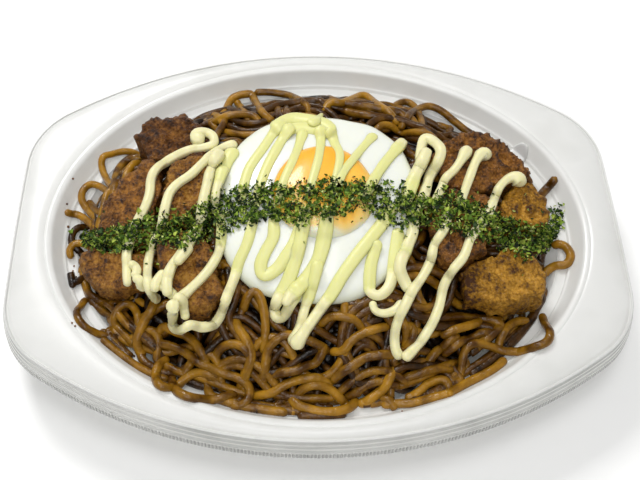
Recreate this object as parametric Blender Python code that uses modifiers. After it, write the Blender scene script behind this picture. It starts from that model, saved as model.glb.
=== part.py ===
"""Yakisoba in its take-out tray: fried noodles, a fried egg, fried pork, mayonnaise and green flakes.

The origin is at the middle of the tray's underside, +X runs along the tray and +Z points up.
Sizes are given in millimetres and turned into metres where a mesh is made.
"""

import math
import random

import bmesh
import bpy
import numpy as np
from mathutils import Matrix, Vector
from mathutils.bvhtree import BVHTree

MM = 0.001
FIT_GAP = 0.45

# The tray: a straight-ended oval rim round a stepped elliptical bowl
RIM_HALF_LENGTH = 118.0
RIM_HALF_WIDTH = 87.0
RIM_SIDE_RADIUS = 187.5
RIM_END_RADIUS = 1296.0
RIM_CORNER_RADIUS = 30.8
RIM_Z = 30.0
SHEET = 0.7
SIDE_STEPS = 4
CORNER_STEPS = 4
END_STEPS = 2
# Bowl, from the floor outwards: half length, half width, height of the upper face
BOWL_PROFILE = (
    (84.0, 60.0, SHEET),
    (87.0, 63.0, 3.0),
    (95.2, 70.8, 20.4),
    (99.6, 75.2, 21.7),
    (104.0, 79.0, 29.4),
    (106.0, 81.0, RIM_Z),
)
# Skirt, from the flange outwards: distance outside the rim line, height
SKIRT_PROFILE = ((0.0, RIM_Z), (0.4, 25.4), (1.4, 24.7), (1.7, 20.2), (2.4, 19.5))

# The heap of noodles: a core that fills the bowl and domes up under the toppings
HEAP_HALF_LENGTH = 93.0
HEAP_HALF_WIDTH = 68.4
HEAP_EDGE_Z = 19.2
HEAP_RISE = 21.8
HEAP_POWER = 3.2
HEAP_FAR_LIFT = 0.0015
HEAP_SIDES = 32
LEDGE_REACH = 0.95
LEDGE_CLEAR_Z = 21.4
# Core, from the floor upwards: half length, half width, height; then its dome's rings as shares of its reach
CORE_WALL = ((82.6, 58.6, SHEET + FIT_GAP), (85.8, 61.8, 3.6), (HEAP_HALF_LENGTH, HEAP_HALF_WIDTH, 18.2))
CORE_RINGS = (0.94, 0.84, 0.7, 0.5, 0.25)

NOODLE_RADIUS = 1.75
NOODLE_SINK = 0.6
NOODLE_STEP = 7.5
NOODLE_PLACES = 44
NOODLE_ROOM = 4.5
NOODLE_LENGTH = (60.0, 95.0)
NOODLE_WAVE = (38.0, 56.0)
NOODLE_SWING = (0.6, 1.0)
NOODLE_SKEW = 0.8
NOODLE_WAVE_HEIGHT = 1.1
NOODLE_REACH = 1.03
NOODLE_LIFT_REACH = 0.94
NOODLE_LIFT_SPAN = 0.06
NOODLE_EDGE_Z = 24.4
NOODLE_SEED = 11
# Loops that stand out of the heap: place, radius, heading in degrees, lean, height of the middle
LOOPS = (
    (-31.0, 56.5, 8.0, 105.0, 0.45, 29.5),
    (15.0, 57.0, 10.5, 80.0, 0.15, 30.0),
    (45.0, 50.0, 9.0, 60.0, 0.2, 29.0),
    (-83.0, 22.0, 9.0, 155.0, 0.3, 26.5),
    (-91.0, 5.0, 6.5, 175.0, 0.4, 24.4),
    (90.5, -12.0, 6.5, -5.0, 0.4, 24.2),
    (-72.0, -38.5, 8.0, -145.0, 0.1, 24.8),
    (-29.0, -50.0, 7.0, 90.0, 0.8, 32.5),
)
LOOP_SWEEP = 265.0

# The fried egg: its outline in plan, and heights above the heap's core
EGG_CENTRE = (1.0, 3.5)
EGG_OUTLINE = (
    (-1, 46), (-16, 44), (-29, 33), (-37, 18), (-39, -3), (-36, -21), (-25, -33),
    (-8, -38), (12, -37), (27, -26), (34, -8), (36, 9), (33, 27), (19, 41),
)
EGG_SIDES = 26
EGG_REST = 0.9
EGG_EDGE_THICKNESS = 3.4
EGG_THICKNESS = 5.2
# Rings of the white: scale of the outline, and share of the edge's thickness
EGG_UNDER = (0.3, 0.65, 0.93)
EGG_SHOULDER = ((1.0, 0.4), (0.97, 0.9), (0.86, 1.15))
DISH_MARGIN = 2.2
DISH_WALL = 1.5
YOLK_RADIUS = 19.6
YOLK_FLOOR = 2.6
YOLK_REST = EGG_REST + YOLK_FLOOR + FIT_GAP
YOLK_TOP = 11.0
# Rings of the yolk: scale of its radius, and height above the core
YOLK_LEVELS = (
    (0.45, YOLK_REST), (0.96, YOLK_REST), (1.0, 5.4), (0.91, 8.0), (0.68, 10.0), (0.3, YOLK_TOP),
)

# Pieces of fried pork: name, outline in plan, thickness, rise per millimetre along X and Y, colour
PORK_SIDES = 14
PORK_REST = 0.9
DARK_CRUST = (0.095, 0.038, 0.018)
RED_CRUST = (0.16, 0.055, 0.022)
BROWN_CRUST = (0.19, 0.088, 0.032)
GOLD_CRUST = (0.37, 0.19, 0.045)
PORK = (
    ("pork_left_back",
     ((-70, 44), (-57, 47), (-47, 42), (-42, 32), (-46, 24.5), (-56, 24.5), (-65, 27), (-73, 34)),
     8.5, (0.12, 0.03), DARK_CRUST),
    ("pork_left_inner",
     ((-56, 22.5), (-44, 22), (-42, 12), (-43.5, 1), (-51, -8), (-59, -10), (-60, 6)),
     8.0, (0.05, 0.0), BROWN_CRUST),
    ("pork_left_outer",
     ((-76, 19), (-67, 24), (-61.5, 19), (-61.5, 5), (-63, -10), (-70, -13), (-86, -9), (-83, 6)),
     7.5, (0.25, 0.05), RED_CRUST),
    ("cutlet_left_front",
     ((-93, -13), (-85, -11), (-72, -15), (-64.5, -19), (-62, -29), (-71, -33), (-82, -31), (-89, -23)),
     9.0, (0.22, 0.08), BROWN_CRUST),
    ("cutlet_left_inner",
     ((-60, -13), (-48, -11), (-41.5, -17), (-38.5, -28), (-35, -37), (-41, -44), (-51, -42), (-58, -31)),
     9.0, (0.02, 0.06), BROWN_CRUST),
    ("pork_right_back",
     ((46, 25), (57, 36), (69, 38), (81, 27), (87, 20), (74, 14), (62, 8), (49, 9)),
     8.0, (-0.2, -0.05), RED_CRUST),
    ("pork_right_outer",
     ((74, 11.5), (84, 16), (90, 9), (91, -1), (84, -5.5), (72, -3), (70, 5)),
     8.5, (-0.15, 0.0), GOLD_CRUST),
    ("pork_right_inner",
     ((46, 6.5), (60, 6), (67, 0), (67, -12), (60, -20), (47, -26), (41.5, -20), (42, -8)),
     8.0, (-0.12, 0.0), RED_CRUST),
    ("cutlet_right_front",
     ((50, -29), (62, -22), (71, -16), (82, -17.5), (88, -26), (83, -38), (67, -42), (52, -42)),
     10.0, (-0.1, 0.1), GOLD_CRUST),
)
# Rings of a slab, as scales of its outline: below, and on its top side with a share of its thickness
SLAB_UNDER = (0.35, 0.9)
SLAB_WAIST = 0.3
SLAB_LEVELS = ((0.97, 0.72), (0.86, 0.98), (0.5, 1.0), (0.2, 1.05))
SLAB_LOWEST = 0.45
SLAB_UNEVEN = 0.8

# Mayonnaise: strokes of a swinging nozzle, each a short path in plan from its first point to its last
MAYO_RADIUS = 2.3
MAYO_STEP = 6.5
MAYO_SINK = 1.2
MAYO_MARGIN = 0.35
MAYO_STROKES = (
    ((-45, 32), (-58, 22), (-66, 6), (-71, -14), (-71, -28)),
    ((-38, 26), (-55, 9), (-60, -10), (-64, -25), (-59, -36)),
    ((-39, 24), (-43, 8), (-45, -14), (-53, -22), (-56, -36)),
    ((-37, -18), (-42, -28), (-54, -38), (-55, -46), (-44, -47), (-35, -42), (-30, -26), (-26, -12)),
    ((-14, 35), (-4, 40), (7, 34)),
    ((-14, 36), (-24, 20), (-30, 6)),
    ((-8, 31), (-15, 18), (-23, 5)),
    ((-1, 30), (-2, 20), (-4, 10)),
    ((1, 32), (7, 16), (6, 7)),
    ((24, 29), (16, 18), (9, 10)),
    ((33, 27), (23, 15), (19, 6)),
    ((-15, -9), (-22, -21), (-21, -29), (-15, -26), (-8, -12)),
    ((-5, -7), (-12, -26), (-17, -42), (-13, -45), (-6, -30), (1, -12)),
    ((4, -8), (-2, -26), (-8, -44), (-13, -53)),
    ((25, -6), (12, -24), (0, -41), (-11, -54)),
    ((21, -14), (17, -28), (20, -38), (27, -34), (28, -15)),
    ((41, 28), (40, 14), (33, 0)),
    ((47, 26), (43, 12), (38, 0)),
    ((61, 30), (52, 14), (44, 2)),
    ((66, 25), (59, 13), (53, 2)),
    ((78, 16), (70, 10), (62, -5), (51, -25), (41, -42), (31, -55), (26, -56), (28, -46), (38, -29),
     (46, -12)),
)

# Green flakes: a band strewn across the toppings along X, and a few strays
FLAKE_COUNT = 52
FLAKE_SIZE = (4.4, 2.4, 0.9)
FLAKE_HALF_LENGTH = 88.0
FLAKE_SPREAD = 4.2
FLAKE_BAND_Y = -3.5
FLAKE_SEED = 5

TRAY_COLOUR = (0.86, 0.86, 0.83)
NOODLE_COLOUR = (0.26, 0.115, 0.03)
WHITE_COLOUR = (0.87, 0.88, 0.85)
YOLK_COLOUR = (0.93, 0.52, 0.13)


def clear_scene():
    """Remove every object that the open file holds."""
    for item in list(bpy.data.objects):
        bpy.data.objects.remove(item, do_unlink=True)


def new_collection(name):
    """Make a collection under the scene's own."""
    group = bpy.data.collections.new(name)
    bpy.context.scene.collection.children.link(group)
    return group


def make_material(name, colour, roughness):
    """Make a Principled material of one colour."""
    material = bpy.data.materials.new(name)
    material.use_nodes = True
    shader = material.node_tree.nodes["Principled BSDF"]
    shader.inputs["Base Color"].default_value = (*colour, 1.0)
    shader.inputs["Roughness"].default_value = roughness
    shader.inputs["Metallic"].default_value = 0.0
    material.diffuse_color = (*colour, 1.0)
    return material


def add_object(name, mesh, group, material):
    """Put a mesh into a collection as a named object with its material."""
    item = bpy.data.objects.new(name, mesh)
    group.objects.link(item)
    mesh.materials.clear()
    mesh.materials.append(material)
    return item


def loft(name, rings, cap_last=True):
    """Join rings of points, given in millimetres, into a skin whose first ring is capped by one flat face."""
    count = len(rings[0])
    shape = bmesh.new()
    rows = [[shape.verts.new(Vector(point) * MM) for point in ring] for ring in rings]
    for inner, outer in zip(rows, rows[1:]):
        for i in range(count):
            j = (i + 1) % count
            shape.faces.new((inner[i], inner[j], outer[j], outer[i]))
    shape.faces.new(rows[0])
    if cap_last:
        shape.faces.new(rows[-1])
        bmesh.ops.triangulate(shape, faces=shape.faces)
    bmesh.ops.recalc_face_normals(shape, faces=shape.faces)
    mesh = bpy.data.meshes.new(name)
    shape.to_mesh(mesh)
    shape.free()
    return mesh


def catmull_rom(points, closed, samples=12):
    """Pass a smooth curve through a few points and return it as a dense row of points."""
    knots = np.array(points, float)
    if closed:
        padded = np.vstack([knots[-1], knots, knots[:2]])
    else:
        padded = np.vstack([2 * knots[0] - knots[1], knots, 2 * knots[-1] - knots[-2]])
    t = np.linspace(0.0, 1.0, samples, endpoint=False)[:, None]
    curve = []
    for a, b, c, d in zip(padded, padded[1:], padded[2:], padded[3:]):
        curve.append(0.5 * (2 * b + (c - a) * t + (2 * a - 5 * b + 4 * c - d) * t ** 2
                            + (3 * b - 3 * c + d - a) * t ** 3))
    end = padded[1] if closed else knots[-1]
    return np.vstack(curve + [end])


def resample(curve, count):
    """Spread a number of points evenly along a dense curve, both ends included."""
    steps = np.linalg.norm(np.diff(curve, axis=0), axis=1)
    along = np.concatenate([[0.0], np.cumsum(steps)])
    targets = np.linspace(0.0, along[-1], count)
    return np.column_stack([np.interp(targets, along, curve[:, k]) for k in range(curve.shape[1])])


def curve_length(curve):
    """Length of a row of points."""
    return float(np.linalg.norm(np.diff(curve, axis=0), axis=1).sum())


def heap_height(x, y):
    """Height of the core: an elliptical dome with a broad top, a little higher on the far side."""
    reach = np.minimum(np.hypot(x / HEAP_HALF_LENGTH, y / HEAP_HALF_WIDTH), 1.0)
    return HEAP_EDGE_Z + HEAP_RISE * (1.0 - reach ** HEAP_POWER) * (1.0 + HEAP_FAR_LIFT * y)


def rim_quarter():
    """Points and outward directions of the rim's first quarter, from the +X end round to the +Y side."""
    side_centre = np.array([0.0, RIM_HALF_WIDTH - RIM_SIDE_RADIUS])
    end_centre = np.array([RIM_HALF_LENGTH - RIM_END_RADIUS, 0.0])
    near_side = RIM_SIDE_RADIUS - RIM_CORNER_RADIUS
    near_end = RIM_END_RADIUS - RIM_CORNER_RADIUS
    between = end_centre - side_centre
    gap = np.linalg.norm(between)
    along = (near_side ** 2 - near_end ** 2 + gap ** 2) / (2.0 * gap)
    across = math.sqrt(near_side ** 2 - along ** 2)
    unit = between / gap
    normal = np.array([-unit[1], unit[0]])
    foot = side_centre + unit * along
    corner = max((foot + normal * across, foot - normal * across), key=lambda p: p[0] + p[1])
    end_turn = math.atan2(*(corner - end_centre)[::-1])
    side_turn = math.atan2(*(corner - side_centre)[::-1])
    stretches = (
        (end_centre, RIM_END_RADIUS, 0.0, end_turn, END_STEPS),
        (corner, RIM_CORNER_RADIUS, end_turn, side_turn, CORNER_STEPS),
        (side_centre, RIM_SIDE_RADIUS, side_turn, math.pi / 2, SIDE_STEPS),
    )
    points = []
    directions = []
    for centre, radius, start, stop, steps in stretches:
        for turn in np.linspace(start, stop, steps, endpoint=False):
            direction = np.array([math.cos(turn), math.sin(turn)])
            points.append(centre + radius * direction)
            directions.append(direction)
    return np.array(points), np.array(directions)


def rim_line():
    """The whole rim line and its outward directions, counterclockwise: its quarter, mirrored and turned."""
    points, directions = rim_quarter()
    top = np.array([[0.0, RIM_HALF_WIDTH]])
    up = np.array([[0.0, 1.0]])
    half = np.vstack([points, top, points[:0:-1] * (-1, 1)])
    half_out = np.vstack([directions, up, directions[:0:-1] * (-1, 1)])
    return np.vstack([half, -half]), np.vstack([half_out, -half_out])


def make_tray(group):
    """A thin sheet drawn over the bowl, the flat flange and the stepped skirt."""
    line, outward = rim_line()
    turn = np.arctan2(line[:, 1] / RIM_HALF_WIDTH, line[:, 0] / RIM_HALF_LENGTH)
    rings = []
    for half_length, half_width, z in BOWL_PROFILE:
        ellipse = np.column_stack([half_length * np.cos(turn), half_width * np.sin(turn)])
        rings.append(np.column_stack([ellipse, np.full(len(turn), z)]))
    for outside, z in SKIRT_PROFILE:
        rings.append(np.column_stack([line + outward * outside, np.full(len(turn), z)]))
    mesh = loft("tray", rings, cap_last=False)
    tray = add_object("tray", mesh, group, make_material("moulded_plastic", TRAY_COLOUR, 0.3))
    if mesh.polygons[-1].normal.z < 0.0:
        mesh.flip_normals()
    sheet = tray.modifiers.new("sheet", "SOLIDIFY")
    sheet.thickness = SHEET * MM
    sheet.offset = -1.0
    sheet.use_even_offset = True
    return tray


def make_core(group):
    """The heap's core: bowl-shaped below the ledge, domed above it."""
    turn = np.linspace(0.0, 2.0 * math.pi, HEAP_SIDES, endpoint=False)
    across = np.cos(turn)
    along = np.sin(turn)
    rings = []
    for half_length, half_width, z in CORE_WALL:
        rings.append(np.column_stack([half_length * across, half_width * along, np.full(HEAP_SIDES, z)]))
    for part in CORE_RINGS:
        x = HEAP_HALF_LENGTH * part * across
        y = HEAP_HALF_WIDTH * part * along
        rings.append(np.column_stack([x, y, heap_height(x, y)]))
    return add_object("noodle_heap", loft("noodle_heap", rings), group,
                      make_material("fried_noodle", NOODLE_COLOUR, 0.35))


def rest_height(plan):
    """Height that a topping rests on: the core, and past its edge a level clear of the tray's ledge."""
    x, y = plan[:, 0], plan[:, 1]
    reach = np.hypot(x / HEAP_HALF_LENGTH, y / HEAP_HALF_WIDTH)
    return np.where(reach > LEDGE_REACH, np.maximum(heap_height(x, y), LEDGE_CLEAR_Z), heap_height(x, y))


def ring_at(outline, centre, scale, height):
    """A scaled copy of an outline at a height above what it rests on."""
    plan = centre + (outline - centre) * scale
    return np.column_stack([plan, rest_height(plan) + height])


def circle(centre, radius, directions):
    """Points on a circle in the given directions from its centre."""
    return centre + radius * directions


def make_egg(group):
    """The white as a thin pool with a dished middle, and the yolk as a flat dome in the dish."""
    centre = np.array(EGG_CENTRE)
    outline = resample(catmull_rom(EGG_OUTLINE, True), EGG_SIDES + 1)[:-1]
    away = (outline - centre) / np.linalg.norm(outline - centre, axis=1)[:, None]
    rings = [ring_at(outline, centre, scale, EGG_REST) for scale in EGG_UNDER]
    for scale, share in EGG_SHOULDER:
        rings.append(ring_at(outline, centre, scale, EGG_REST + share * EGG_EDGE_THICKNESS))
    dish_radius = YOLK_RADIUS + DISH_MARGIN
    dish = circle(centre, dish_radius, away)
    rings.append(ring_at(dish, centre, 1.0, EGG_REST + EGG_THICKNESS))
    rings.append(ring_at(dish, centre, 1.0 - DISH_WALL / dish_radius, EGG_REST + YOLK_FLOOR))
    rings.append(ring_at(dish, centre, 0.4, EGG_REST + YOLK_FLOOR))
    mesh = loft("egg_white", rings)
    white = add_object("egg_white", mesh, group, make_material("egg_white", WHITE_COLOUR, 0.3))
    rounds = circle(centre, YOLK_RADIUS, away)
    mesh = loft("egg_yolk", [ring_at(rounds, centre, scale, height) for scale, height in YOLK_LEVELS])
    yolk = add_object("egg_yolk", mesh, group, make_material("egg_yolk", YOLK_COLOUR, 0.3))
    return white, yolk


def make_pork(group, entry, seed):
    """A crusty slab on the core: its underside follows the heap, and its top leans and is uneven."""
    name, corners, thickness, lean, colour = entry
    draw = random.Random(seed)
    outline = resample(catmull_rom(corners, True), PORK_SIDES + 1)[:-1]
    centre = outline.mean(axis=0)
    level = float(heap_height(*centre)) + PORK_REST + thickness
    rings = [ring_at(outline, centre, scale, PORK_REST) for scale in SLAB_UNDER]
    rings.append(ring_at(outline, centre, 1.0, PORK_REST + SLAB_WAIST * thickness))
    for scale, share in SLAB_LEVELS:
        plan = centre + (outline - centre) * scale
        tilt = (plan - centre) @ np.array(lean)
        uneven = np.array([draw.uniform(-SLAB_UNEVEN, SLAB_UNEVEN) for _ in range(PORK_SIDES)])
        uneven *= min(1.0, 1.6 * scale)
        lowest = rest_height(plan) + PORK_REST + (SLAB_LOWEST + SLAB_WAIST * share) * thickness
        rise = np.maximum(level + tilt - (1.0 - share) * thickness + uneven, lowest)
        rings.append(np.column_stack([plan, rise]))
    return add_object(name, loft(name, rings), group, make_material(name + "_crust", colour, 0.55))


def make_tube(name, points, radius, group, ends=1.0):
    """A round strand along a path as one closed mesh, by way of a bevelled curve with filled caps."""
    data = bpy.data.curves.new(name, "CURVE")
    data.dimensions = "3D"
    data.bevel_depth = radius * MM
    data.bevel_resolution = 1
    data.use_fill_caps = True
    spline = data.splines.new("POLY")
    spline.points.add(len(points) - 1)
    for knot, point in zip(spline.points, points):
        knot.co = (*(Vector(point) * MM), 1.0)
        knot.radius = 1.0
    spline.points[0].radius = ends
    spline.points[-1].radius = ends
    guide = bpy.data.objects.new(name + "_path", data)
    group.objects.link(guide)
    seen = guide.evaluated_get(bpy.context.evaluated_depsgraph_get())
    mesh = bpy.data.meshes.new_from_object(seen)
    shape = bmesh.new()
    shape.from_mesh(mesh)
    bmesh.ops.remove_doubles(shape, verts=shape.verts, dist=1e-6)
    bmesh.ops.triangulate(shape, faces=shape.faces)
    bmesh.ops.recalc_face_normals(shape, faces=shape.faces)
    shape.to_mesh(mesh)
    shape.free()
    tube = bpy.data.objects.new(name, mesh)
    group.objects.link(tube)
    tube.matrix_world = guide.matrix_world
    bpy.data.objects.remove(guide, do_unlink=True)
    return tube


def tree_of(item):
    """A search tree of an object's evaluated faces, in millimetres."""
    graph = bpy.context.evaluated_depsgraph_get()
    mesh = item.evaluated_get(graph).to_mesh()
    corners = [vertex.co / MM for vertex in mesh.vertices]
    faces = [tuple(face.vertices) for face in mesh.polygons]
    return BVHTree.FromPolygons(corners, faces)


def clearance(trees, point):
    """Distance from a point to the nearest of some solids, negative inside one."""
    least = math.inf
    for tree in trees:
        near, normal, _, distance = tree.find_nearest(Vector(point))
        inside = (Vector(point) - near).dot(normal) < 0.0
        least = min(least, -distance if inside else distance)
    return least


def stretches(wanted):
    """Runs of neighbouring true values, as pairs of first and last index."""
    runs = []
    start = None
    for i, good in enumerate(list(wanted) + [False]):
        if good and start is None:
            start = i
        if not good and start is not None:
            runs.append((start, i - 1))
            start = None
    return runs


def surface_under(solids, x, y):
    """Name and height of what is on top at a place in plan."""
    found = ("", -math.inf)
    for name, trees in solids.items():
        for tree in trees:
            hit = tree.ray_cast(Vector((x, y, 200.0)), Vector((0.0, 0.0, -1.0)))[0]
            if hit is not None and hit.z > found[1]:
                found = (name, hit.z)
    return found


def drape_mayonnaise(solids, groups):
    """Lay each stroke over the toppings, cut where it passes from one piece to the next."""
    for number, stroke in enumerate(MAYO_STROKES):
        plan = catmull_rom(stroke, False)
        plan = resample(plan, int(curve_length(plan) / 2.0) + 1)
        under = [surface_under(solids, x, y) for x, y in plan]
        tops = np.array([height for _, height in under])
        spread = np.pad(tops, 2, mode="edge")
        draped = np.max([spread[k:k + len(tops)] for k in range(5)], axis=0)
        soft = np.convolve(np.pad(0.5 * (tops + draped), 2, mode="edge"), np.ones(5) / 5.0, mode="valid")
        path = np.column_stack([plan, soft + MAYO_RADIUS - MAYO_SINK])
        for name, group in groups.items():
            others = [tree for other, trees in solids.items() if other != name for tree in trees]
            fits = [hit[0] == name and clearance(others, point) > MAYO_RADIUS + MAYO_MARGIN
                    for hit, point in zip(under, path)]
            for first, last in stretches(fits):
                run = path[first:last + 1]
                length = curve_length(run) if len(run) > 1 else 0.0
                if length > 1.5 * MAYO_RADIUS:
                    points = resample(run, max(2, round(length / MAYO_STEP) + 1))
                    make_tube(f"mayo_{number}_{first}", points, MAYO_RADIUS, group, 0.85)


def wavy_path(draw, x, y):
    """A strand through a place on the heap: its heading swings as a sine along it, and its height waves.

    Past the core's edge it lifts over the tray's ledge, and it turns back where the heap ends.
    """
    length = draw.uniform(*NOODLE_LENGTH)
    wave = draw.uniform(*NOODLE_WAVE)
    swing = draw.uniform(*NOODLE_SWING)
    phase = draw.uniform(0.0, 2.0 * math.pi)
    round_heap = math.atan2(HEAP_HALF_WIDTH ** 2 * x, -HEAP_HALF_LENGTH ** 2 * y)
    heading = round_heap + draw.uniform(-NOODLE_SKEW, NOODLE_SKEW)
    s = np.linspace(-0.5, 0.5, 81) * length
    turn = heading + swing * np.sin(2.0 * math.pi * s / wave + phase)
    step = s[1] - s[0]
    plan = np.column_stack([np.cumsum(np.cos(turn)), np.cumsum(np.sin(turn))]) * step
    plan += np.array([x, y]) - plan[len(s) // 2]
    reach = np.hypot(plan[:, 0] / HEAP_HALF_LENGTH, plan[:, 1] / HEAP_HALF_WIDTH)
    plan *= np.minimum(1.0, NOODLE_REACH / reach)[:, None]
    over_edge = np.clip((reach - NOODLE_LIFT_REACH) / NOODLE_LIFT_SPAN, 0.0, 1.0)
    height = heap_height(plan[:, 0], plan[:, 1]) + NOODLE_RADIUS - NOODLE_SINK
    height += NOODLE_WAVE_HEIGHT * (1.0 + np.sin(2.0 * math.pi * s / (0.7 * wave) + 2.0 * phase))
    height = np.maximum(height, HEAP_EDGE_Z + (NOODLE_EDGE_Z - HEAP_EDGE_Z) * over_edge)
    return np.column_stack([plan, height])


def loop_path(x, y, radius, heading, lean, z):
    """A strand bent into most of a circle that leans out of the heap."""
    out = math.radians(heading)
    turn = np.radians(np.linspace(-0.5, 0.5, 40) * LOOP_SWEEP)
    forward = np.array([math.cos(out) * math.cos(lean), math.sin(out) * math.cos(lean), math.sin(lean)])
    sideways = np.array([-math.sin(out), math.cos(out), 0.0])
    arc = np.cos(turn)[:, None] * forward + np.sin(turn)[:, None] * sideways
    return np.array([x, y, z]) + radius * arc


def noodle_paths(trees):
    """Strands through places spread evenly over the heap, where no topping lies, then the standing loops."""
    draw = random.Random(NOODLE_SEED)
    golden = math.pi * (3.0 - math.sqrt(5.0))
    paths = []
    for number in range(NOODLE_PLACES):
        reach = math.sqrt((number + 0.5) / NOODLE_PLACES)
        x = HEAP_HALF_LENGTH * reach * math.cos(number * golden)
        y = HEAP_HALF_WIDTH * reach * math.sin(number * golden)
        if clearance(trees, (x, y, float(heap_height(x, y)) + NOODLE_RADIUS)) > NOODLE_ROOM:
            paths.append(wavy_path(draw, x, y))
    return paths + [loop_path(*loop) for loop in LOOPS]


def lay_noodles(trees, group):
    """Keep the longest stretch of each path that stays clear of the tray and the toppings."""
    for number, path in enumerate(noodle_paths(trees)):
        dense = resample(path, int(curve_length(path) / 2.0) + 1)
        runs = stretches([clearance(trees, point) > NOODLE_RADIUS + FIT_GAP for point in dense])
        if not runs:
            continue
        first, last = max(runs, key=lambda run: run[1] - run[0])
        if last - first >= 6:
            run = dense[first:last + 1]
            points = resample(run, round(curve_length(run) / NOODLE_STEP) + 2)
            make_tube(f"noodle_{number}", points, NOODLE_RADIUS, group)
    print("strands laid:", len(group.objects))


def strew_flakes(solids, groups):
    """Bent green chips in a band across the toppings, each on the piece that it falls on."""
    draw = random.Random(FLAKE_SEED)
    for number in range(FLAKE_COUNT):
        share = (number + draw.uniform(0.1, 0.9)) / FLAKE_COUNT
        x = FLAKE_HALF_LENGTH * (2.0 * share - 1.0)
        y = FLAKE_BAND_Y + 5.0 * math.cos(x / 34.0) + draw.gauss(0.0, FLAKE_SPREAD)
        name, top = surface_under(solids, x, y)
        turn = draw.uniform(0.0, 2.0 * math.pi)
        tilt = draw.uniform(-0.6, 0.6)
        size = draw.uniform(0.8, 1.15)
        if name not in groups:
            continue
        others = [tree for other, trees in solids.items() if other != name for tree in trees]
        centre = Vector((x, y, top + 0.35))
        if clearance(others, centre) < 0.55 * FLAKE_SIZE[0] * size + FIT_GAP:
            continue
        mesh = bpy.data.meshes.new(f"flake_{number}")
        shape = bmesh.new()
        bmesh.ops.create_cube(shape, size=1.0)
        for corner in shape.verts:
            corner.co.y *= 1.0 - 0.6 * (corner.co.x + 0.5)
            corner.co = Vector([corner.co[k] * FLAKE_SIZE[k] * size * MM for k in range(3)])
        turned = Matrix.Rotation(turn, 4, "Z") @ Matrix.Rotation(tilt, 4, "X")
        bmesh.ops.transform(shape, matrix=Matrix.Translation(centre * MM) @ turned, verts=shape.verts)
        shape.to_mesh(mesh)
        shape.free()
        groups[name].objects.link(bpy.data.objects.new(f"flake_{number}", mesh))


def keep_largest(mesh):
    """Drop loose scraps and fill sealed hollows: only the largest connected skin stays."""
    shape = bmesh.new()
    shape.from_mesh(mesh)
    left = set(shape.faces)
    skins = []
    while left:
        seed = left.pop()
        skin = {seed}
        front = [seed]
        while front:
            for edge in front.pop().edges:
                for face in edge.link_faces:
                    if face in left:
                        left.remove(face)
                        skin.add(face)
                        front.append(face)
        skins.append(skin)
    skins.sort(key=len)
    spare = [face for skin in skins[:-1] for face in skin]
    bmesh.ops.delete(shape, geom=spare, context="FACES")
    loose = [vertex for vertex in shape.verts if not vertex.link_faces]
    bmesh.ops.delete(shape, geom=loose, context="VERTS")
    bmesh.ops.triangulate(shape, faces=shape.faces)
    shape.to_mesh(mesh)
    shape.free()


def fuse(item, group):
    """Join a piece with the strands and flakes on it in one union, and keep the one closed body."""
    if group.objects:
        union = item.modifiers.new("fuse", "BOOLEAN")
        union.operation = "UNION"
        union.operand_type = "COLLECTION"
        union.collection = group
        union.solver = "EXACT"
        seen = item.evaluated_get(bpy.context.evaluated_depsgraph_get())
        mesh = bpy.data.meshes.new_from_object(seen)
        material = item.data.materials[0]
        item.modifiers.clear()
        item.data = mesh
        mesh.name = item.name
        mesh.materials.clear()
        mesh.materials.append(material)
        keep_largest(mesh)
    for extra in list(group.objects):
        bpy.data.objects.remove(extra, do_unlink=True)
    bpy.data.collections.remove(group)


def build():
    """Model the tray, the heap and the toppings, then dress each of them."""
    clear_scene()
    group = new_collection("yakisoba")
    tray = make_tray(group)
    core = make_core(group)
    white, yolk = make_egg(group)
    toppings = [white, yolk] + [make_pork(group, entry, number) for number, entry in enumerate(PORK)]
    bpy.context.view_layer.update()
    solids = {item.name: [tree_of(item)] for item in toppings + [core]}
    extras = {name: new_collection(name + "_extras") for name in solids}
    drape_mayonnaise(solids, extras)
    bpy.context.view_layer.update()
    for name, strands in extras.items():
        solids[name] += [tree_of(strand) for strand in strands.objects]
    around = [tree_of(tray)] + [tree for item in toppings for tree in solids[item.name]]
    lay_noodles(around, extras[core.name])
    bpy.context.view_layer.update()
    solids[core.name] += [tree_of(strand) for strand in extras[core.name].objects]
    strew_flakes(solids, extras)
    bpy.context.view_layer.update()
    for item in toppings + [core]:
        fuse(item, extras[item.name])


build()
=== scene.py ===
# %% [markdown]
# # Yakisoba in a take-out tray
#
# Fried noodles fill a thin white tray. A fried egg, nine pieces of fried pork, strokes of
# mayonnaise and a band of green flakes lie on them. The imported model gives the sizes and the
# places, and each cell below makes one of the real surfaces over it: first the helpers, then
# the tray, the noodles, the toppings, and last the floor, the light and the camera.

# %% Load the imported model
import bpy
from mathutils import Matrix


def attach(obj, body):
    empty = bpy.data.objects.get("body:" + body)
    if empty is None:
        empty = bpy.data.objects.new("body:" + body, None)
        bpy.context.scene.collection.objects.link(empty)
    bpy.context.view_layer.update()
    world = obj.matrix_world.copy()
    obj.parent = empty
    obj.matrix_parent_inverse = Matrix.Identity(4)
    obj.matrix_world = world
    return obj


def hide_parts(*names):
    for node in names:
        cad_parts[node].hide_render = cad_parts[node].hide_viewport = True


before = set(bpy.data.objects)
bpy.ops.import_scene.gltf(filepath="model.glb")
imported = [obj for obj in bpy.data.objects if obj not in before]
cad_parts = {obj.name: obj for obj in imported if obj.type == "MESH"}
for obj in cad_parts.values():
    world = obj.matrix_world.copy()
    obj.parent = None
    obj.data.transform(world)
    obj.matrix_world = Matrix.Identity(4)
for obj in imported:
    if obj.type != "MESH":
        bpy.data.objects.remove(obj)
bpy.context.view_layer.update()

import math

import bpy
import numpy as np
from mathutils import Matrix

MM = 0.001

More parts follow.
